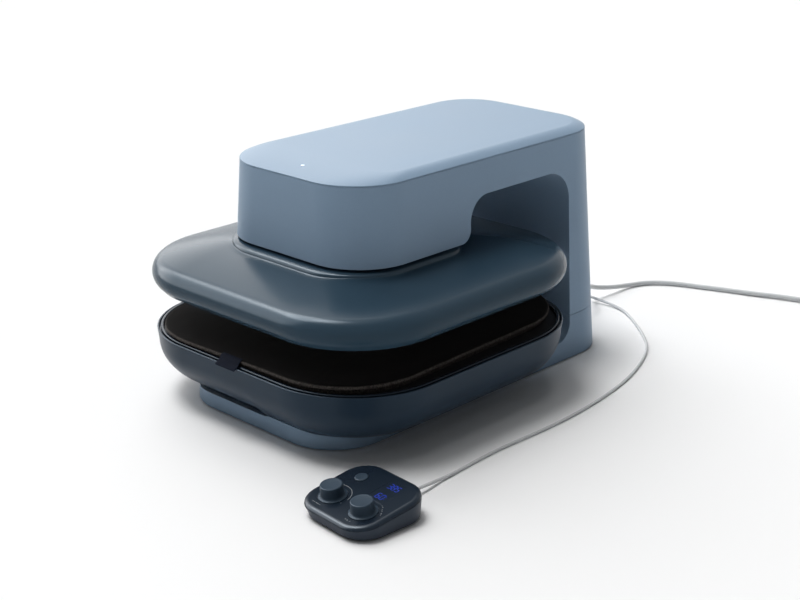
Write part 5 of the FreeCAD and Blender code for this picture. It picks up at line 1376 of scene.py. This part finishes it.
def surface(name, colour, roughness, shift=0.05, broad_scale=9.0, grain_scale=900.0, grain_depth=0.02,
            roughness_shift=0.05, stretch=(1.0, 1.0, 1.0), shader_inputs=None):
    """A finish with a broad drift of colour and roughness and a fine grain in its bump."""
    material = bpy.data.materials.new(name)
    material.use_nodes = True
    tree = material.node_tree
    inputs = tree.nodes["Principled BSDF"].inputs
    place = add_node(tree, "TexCoord").outputs["Object"]
    place = add_node(tree, "Mapping", {"Vector": place, "Scale": stretch}).outputs["Vector"]
    broad = add_node(tree, "TexNoise", {"Vector": place, "Scale": broad_scale, "Detail": 4.0})
    grain = add_node(tree, "TexNoise", {"Vector": place, "Scale": grain_scale, "Detail": 3.0})
    tones = add_node(tree, "ValToRGB", {"Fac": broad.outputs["Fac"]})
    low, high = tones.color_ramp.elements
    low.position = NOISE_LOW
    low.color = (*(channel * (1 - shift) for channel in colour), 1.0)
    high.position = NOISE_HIGH
    high.color = (*(channel * (1 + shift) for channel in colour), 1.0)
    gloss = add_node(tree, "MapRange", {
        "Value": broad.outputs["Fac"], "From Min": NOISE_LOW, "From Max": NOISE_HIGH,
        "To Min": roughness - roughness_shift, "To Max": roughness + roughness_shift,
    })
    bump = add_node(tree, "Bump", {
        "Height": grain.outputs["Fac"], "Strength": 1.0, "Distance": grain_depth * MM,
    })
    feed(inputs["Base Color"], tones.outputs["Color"])
    feed(inputs["Roughness"], gloss.outputs["Result"])
    feed(inputs["Normal"], bump.outputs["Normal"])
    for key, value in (shader_inputs or {}).items():
        feed(inputs[key], value)
    return {"material": material, "tree": tree, "inputs": inputs, "place": place,
            "tone": tones.outputs["Color"], "relief": bump.outputs["Normal"]}


def mix_in(finish, colour, amount):
    """Lay another colour over a finish's own, as far as the amount says."""
    mix = add_node(finish["tree"], "Mix", {0: amount, 6: finish["tone"], 7: (*colour, 1.0)}, data_type="RGBA")
    feed(finish["inputs"]["Base Color"], mix.outputs[2])

# %% [markdown]
# ### Painted and moulded plastics
# The housing is a pale blue-grey with a satin lacquer and a very fine pearl grain. The platen cover
# and the bowl are a dark blue of the same make, the pod is nearly black, and the trim is glossy black.

# %% Plastics
HOUSING_COLOUR = (0.240, 0.338, 0.455)
PLATEN_COLOUR = (0.026, 0.052, 0.078)
BOWL_COLOUR = (0.020, 0.036, 0.058)
POD_PLATE_COLOUR = (0.005, 0.011, 0.021)
POD_WALL_COLOUR = (0.042, 0.053, 0.072)
DIAL_COLOUR = (0.026, 0.043, 0.064)
TRIM_COLOUR = (0.009, 0.017, 0.030)
PEARL_SCALE = 2600.0
LACQUER = {"Specular IOR Level": 0.135, "Specular Tint": (0.78, 0.90, 1.0, 1.0)}
MOULDED = {"Specular IOR Level": 0.12, "Specular Tint": (0.80, 0.91, 1.0, 1.0)}
POLISHED = {**MOULDED, "Specular IOR Level": 0.20}


def pearl_lacquer(name, colour, roughness, flake_shift, **changes):
    """A lacquer with tiny lighter and darker flakes mixed into its colour."""
    finish = surface(
        name, colour, roughness, grain_scale=1400.0, grain_depth=0.004, shader_inputs=LACQUER, **changes,
    )
    tree = finish["tree"]
    flakes = add_node(tree, "TexVoronoi", {"Vector": finish["place"], "Scale": PEARL_SCALE})
    split = add_node(tree, "SeparateColor", {"Color": flakes.outputs["Color"]})
    amount = add_node(tree, "MapRange", {
        "Value": split.outputs["Red"], "To Min": 1 - flake_shift, "To Max": 1 + flake_shift,
    })
    mix = add_node(
        tree, "VectorMath", {0: finish["tone"], "Scale": amount.outputs["Result"]}, operation="SCALE",
    )
    feed(finish["inputs"]["Base Color"], mix.outputs["Vector"])
    return finish


finishes = {}
finishes["housing_plastic"] = pearl_lacquer(
    "housing_lacquer", HOUSING_COLOUR, 0.36, 0.03, shift=0.025, broad_scale=7.0, roughness_shift=0.03,
)
finishes["dark_plastic"] = pearl_lacquer(
    "platen_lacquer", PLATEN_COLOUR, 0.22, 0.01, shift=0.02, roughness_shift=0.02,
)
bowl_finish = pearl_lacquer("bowl_lacquer", BOWL_COLOUR, 0.30, 0.02, shift=0.04, roughness_shift=0.02)
pod_plate_finish = surface(
    "pod_plate_plastic", POD_PLATE_COLOUR, 0.27, shift=0.06, grain_scale=1900.0, grain_depth=0.006,
    roughness_shift=0.03, shader_inputs=POLISHED,
)
pod_wall_finish = surface(
    "pod_wall_plastic", POD_WALL_COLOUR, 0.34, grain_scale=1900.0, grain_depth=0.006,
    roughness_shift=0.03, shader_inputs=MOULDED,
)
finishes["dial_plastic"] = surface(
    "dial_plastic", DIAL_COLOUR, 0.40, grain_scale=1900.0, grain_depth=0.008, shader_inputs=MOULDED,
)
finishes["trim_plastic"] = surface(
    "trim_gloss", TRIM_COLOUR, 0.24, shift=0.1, grain_scale=300.0, grain_depth=0.004, roughness_shift=0.04,
    shader_inputs=MOULDED,
)
print("plastics", 7)

# %% [markdown]
# ### Fabric
# The mat is felt under a dull coated cloth: a weave too fine to see as threads, with a soft sheen. The
# tag is a plain woven ribbon, so two crossed waves give its bump.

# %% Fabrics
MAT_COLOUR = (0.0060, 0.0052, 0.0050)
# The mat's side band is the cut fibres' paler tone, with a painted sheen of light laid on them.
MAT_CUT_EDGE_AND_SHEEN_COLOUR = (0.115, 0.102, 0.094)
TAG_COLOUR = (0.0040, 0.0062, 0.0140)
EDGE_FADE = (98.2, 99.75)
EDGE_DRIFT = 0.9
EDGE_DRIFT_SCALE = 60.0
TUFT_AND_SHEEN_SCALE = 520.0


def woven(finish, scale, depth):
    """Crossed waves over the grain, as warp and weft."""
    tree = finish["tree"]
    warp, weft = (
        add_node(tree, "TexWave", {"Vector": finish["place"], "Scale": scale}, bands_direction=direction)
        for direction in "XY"
    )
    both = add_node(tree, "Math", {0: warp.outputs["Fac"], 1: weft.outputs["Fac"]}, operation="ADD")
    bump = add_node(tree, "Bump", {
        "Height": both.outputs["Value"], "Normal": finish["relief"], "Strength": 1.0, "Distance": depth * MM,
    })
    feed(finish["inputs"]["Normal"], bump.outputs["Normal"])


def cut_edge_and_painted_sheen(finish, colour):
    """Paint a paler, uneven band on the side below the top, fading out towards it: the cut fibres' own paler
    tone with a painted sheen of light on them.
    """
    tree = finish["tree"]
    place = add_node(tree, "TexCoord").outputs["Object"]
    split = add_node(tree, "SeparateXYZ", {"Vector": place})
    drift = add_node(tree, "TexNoise", {"Vector": place, "Scale": EDGE_DRIFT_SCALE, "Detail": 5.0})
    lift = add_node(tree, "Math", {
        0: drift.outputs["Fac"], 1: EDGE_DRIFT * MM, 2: -EDGE_DRIFT / 2 * MM,
    }, operation="MULTIPLY_ADD")
    height = add_node(tree, "Math", {0: split.outputs["Z"], 1: lift.outputs["Value"]}, operation="ADD")
    fade = add_node(tree, "MapRange", {
        "Value": height.outputs["Value"], "From Min": EDGE_FADE[0] * MM, "From Max": EDGE_FADE[1] * MM,
        "To Min": 1.0, "To Max": 0.0,
    }, interpolation_type="SMOOTHSTEP")
    tuft_and_sheen_noise = add_node(tree, "TexNoise", {
        "Vector": place, "Scale": TUFT_AND_SHEEN_SCALE, "Detail": 4.0, "Roughness": 0.65,
    })
    uneven = add_node(tree, "MapRange", {
        "Value": tuft_and_sheen_noise.outputs["Fac"], "From Min": 0.36, "From Max": 0.64, "To Min": 0.25, "To Max": 1.0,
    })
    amount = add_node(
        tree, "Math", {0: fade.outputs["Result"], 1: uneven.outputs["Result"]}, operation="MULTIPLY",
    )
    mix_in(finish, colour, amount.outputs["Value"])


finishes["mat_fabric"] = surface(
    "mat_cloth", MAT_COLOUR, 0.82, shift=0.30, broad_scale=22.0, grain_scale=1100.0, grain_depth=0.10,
    shader_inputs={"Specular IOR Level": 0.02, "Sheen Weight": 0.015, "Sheen Roughness": 0.5},
)
finishes["tag_fabric"] = surface(
    "tag_ribbon", TAG_COLOUR, 0.7, shift=0.12, broad_scale=120.0, grain_scale=1500.0, grain_depth=0.05,
    shader_inputs={"Specular IOR Level": 0.02, "Sheen Weight": 0.005},
)
woven(finishes["mat_fabric"], 260.0, 0.05)
# The mat's side gets its paler cut fibres and a painted sheen of light on them.
cut_edge_and_painted_sheen(finishes["mat_fabric"], MAT_CUT_EDGE_AND_SHEEN_COLOUR)
woven(finishes["tag_fabric"], 330.0, 0.08)
print("fabrics", 2)

# %% [markdown]
# ### Metals, rubber and the rest
# Turned and ground metals get a grain stretched along one axis. Boards, insulation and rubber are
# hidden at rest, but they show from below or when the arm lifts, so they are finished as well.

# %% Metals
METALS = {
    "steel": ((0.40, 0.41, 0.42), 0.36, (1.0, 1.0, 0.06)),
    "dark_steel": ((0.09, 0.095, 0.10), 0.45, (1.0, 0.2, 1.0)),
    "aluminium": ((0.58, 0.59, 0.60), 0.42, (0.08, 1.0, 1.0)),
    "brass": ((0.60, 0.44, 0.21), 0.36, (1.0, 1.0, 0.1)),
}
for metal_name, (colour, roughness, stretch) in METALS.items():
    finishes[metal_name] = surface(
        metal_name + "_finish", colour, roughness, shift=0.06, broad_scale=40.0, grain_scale=700.0,
        grain_depth=0.006, roughness_shift=0.07, stretch=stretch, shader_inputs={"Metallic": 1.0},
    )
print("metals", sorted(METALS))

# %% Coatings, rubber, jacket and boards
CORD_COLOUR = (0.60, 0.61, 0.62)
TRACK_COLOUR = (0.05, 0.19, 0.07)
TRACK_SCALE = 90.0
TRACK_WIDTH = 0.06

finishes["black_coating"] = surface(
    "black_coating", (0.012, 0.012, 0.013), 0.42, shift=0.15, grain_scale=1200.0, grain_depth=0.03,
    shader_inputs=MOULDED,
)
finishes["rubber"] = surface(
    "rubber", (0.012, 0.012, 0.012), 0.75, shift=0.2, grain_scale=600.0, grain_depth=0.05,
    shader_inputs=MOULDED,
)
finishes["cord_jacket"] = surface(
    "cord_jacket", CORD_COLOUR, 0.42, shift=0.03, grain_scale=500.0, shader_inputs=MOULDED,
)
finishes["insulation"] = surface(
    "insulation_board", (0.62, 0.57, 0.47), 0.9, shift=0.12, broad_scale=70.0, grain_scale=1300.0,
    grain_depth=0.1,
)
finishes["circuit_board"] = surface(
    "board_mask", (0.012, 0.085, 0.040), 0.3, shift=0.15, broad_scale=60.0, grain_scale=400.0,
)


def add_tracks(finish, colour):
    """Copper tracks under a board's mask, as the joints of a fine brick pattern."""
    bricks = add_node(finish["tree"], "TexBrick", {
        "Vector": finish["place"], "Scale": TRACK_SCALE, "Mortar Size": TRACK_WIDTH,
        "Color1": (0, 0, 0, 1), "Color2": (0, 0, 0, 1), "Mortar": (1, 1, 1, 1),
    })
    mix_in(finish, colour, bricks.outputs["Color"])


add_tracks(finishes["circuit_board"], TRACK_COLOUR)

# %% [markdown]
# ### Window, light and figures
# The display window is smoked acrylic: nearly black, with the same low gloss as the plate round it.
# The status light and the figures give light of their own, and the printed marks are pale ink.

# %% Window and lights
FIGURE_COLOUR = (0.006, 0.025, 0.30)
LENS_COLOUR = (0.80, 0.88, 1.0)
INK_COLOUR = (0.40, 0.43, 0.45)
WINDOW_COLOUR = (0.0050, 0.0110, 0.0215)


def glowing(name, colour, strength):
    glow = {"Emission Color": (*colour, 1.0), "Emission Strength": strength}
    return surface(name, colour, 0.25, shift=0.03, grain_depth=0.004, shader_inputs=glow)


finishes["display_window"] = surface(
    "smoked_window", WINDOW_COLOUR, 0.27, shift=0.06, grain_scale=1900.0, grain_depth=0.002,
    roughness_shift=0.03, shader_inputs=POLISHED,
)
finishes["light_lens"] = glowing("status_glow", LENS_COLOUR, 0.7)
figure_finish = glowing("figure_glow", FIGURE_COLOUR, 0.6)
ink_finish = surface("mark_ink", INK_COLOUR, 0.6, shift=0.08, grain_scale=1500.0, grain_depth=0.01)

# %% [markdown]
# ### Putting the finishes on
# A new piece gets its finish by name. A CAD node that is still shown keeps its mesh, and only the
# material in its slot is exchanged for the procedural one of the same slot name.

# %% Dress every piece
SPECIAL = {
    bowl_shell.name: bowl_finish, pod_body.name: pod_wall_finish, pod_plate.name: pod_plate_finish,
    values.name: figure_finish, marks.name: ink_finish,
}
dressed = 0
for piece in list(bpy.context.scene.objects):
    if piece.type not in ("MESH", "CURVE"):
        continue
    if "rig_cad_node" in piece:
        for material_slot in piece.material_slots:
            base_name = material_slot.material.name.split(".")[0]
            material_slot.material = finishes[base_name]["material"]
    else:
        finish = SPECIAL.get(piece.name) or finishes[piece["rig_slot"]]
        piece.data.materials.clear()
        piece.data.materials.append(finish["material"])
    dressed += 1
print("dressed", dressed)

# %% [markdown]
# ## Floor, world and light
# The picture has a white sweep, a narrow key light from above, a broad soft light over it and a tall
# window of light at the left. Suns give the same level everywhere, so the floor stays even far from
# the machine, and a sun's width gives the soft edge of its shadow. Together they light a level
# surface about as it is written. Two more lamps reach only gloss: they draw the long soft highlights
# on the rolled edges and leave the colours alone. The world lights everything dimly, and the camera
# and reflections see it as the white room.

# %% Floor
FLOOR_COLOUR = (0.91, 0.91, 0.91, 1.0)
FLOOR_HALF_SIZE = 14.0

bm = bmesh.new()
bmesh.ops.create_grid(bm, x_segments=8, y_segments=8, size=FLOOR_HALF_SIZE)
floor = new_object("floor", bm)
floor_material = bpy.data.materials.new("white_sweep")
floor_material.use_nodes = True
floor_inputs = floor_material.node_tree.nodes["Principled BSDF"].inputs
feed(floor_inputs["Base Color"], FLOOR_COLOUR)
feed(floor_inputs["Roughness"], 0.9)
feed(floor_inputs["Specular IOR Level"], 0.0)
floor.data.materials.append(floor_material)
print("floor across", 2 * FLOOR_HALF_SIZE, "m")

# %% World
ROOM_LIGHT = 0.12
ROOM_COLOUR = (0.97, 0.985, 1.0, 1.0)

world = bpy.data.worlds.new("white_room")
bpy.context.scene.world = world
world.use_nodes = True
tree = world.node_tree
dim = tree.nodes["Background"]
feed(dim.inputs["Color"], ROOM_COLOUR)
feed(dim.inputs["Strength"], ROOM_LIGHT)
white = add_node(tree, "Background", {"Color": (1, 1, 1, 1), "Strength": 1.0})
rays = add_node(tree, "LightPath").outputs
seen = add_node(tree, "Math", {0: rays["Is Camera Ray"], 1: rays["Is Glossy Ray"]}, operation="MAXIMUM")
seen = add_node(
    tree, "Math", {0: seen.outputs["Value"], 1: rays["Is Transmission Ray"]}, operation="MAXIMUM",
)
blend = add_node(tree, "MixShader", {
    0: seen.outputs["Value"], 1: dim.outputs["Background"], 2: white.outputs["Background"],
})
feed(tree.nodes["World Output"].inputs["Surface"], blend.outputs["Shader"])
print("room light", ROOM_LIGHT)

# %% Light
LAMPS = (
    ("key", (-0.25, -0.12, 1.0), 1.30, 20, True),
    ("overhead", (-0.35, -0.04, 1.0), 0.95, 60, True),
    ("side_window", (-0.8, 0.3, 0.6), 1.70, 60, True),
    ("front_sheen", (-0.9, -0.45, 0.5), 4.5, 60, False),
    ("long_lamp", (-0.50, -0.16, 0.85), 4.2, 34, False),
)

for name, from_direction, energy, width, reaches_colours in LAMPS:
    lamp = bpy.data.lights.new(name, "SUN")
    lamp.energy = energy
    lamp.angle = math.radians(width)
    sun = bpy.data.objects.new(name, lamp)
    sun.rotation_euler = Vector(from_direction).to_track_quat("Z", "Y").to_euler()
    sun.visible_diffuse = reaches_colours
    bpy.context.scene.collection.objects.link(sun)
bpy.context.scene.view_settings.view_transform = "Standard"
print("lamps", len(LAMPS))
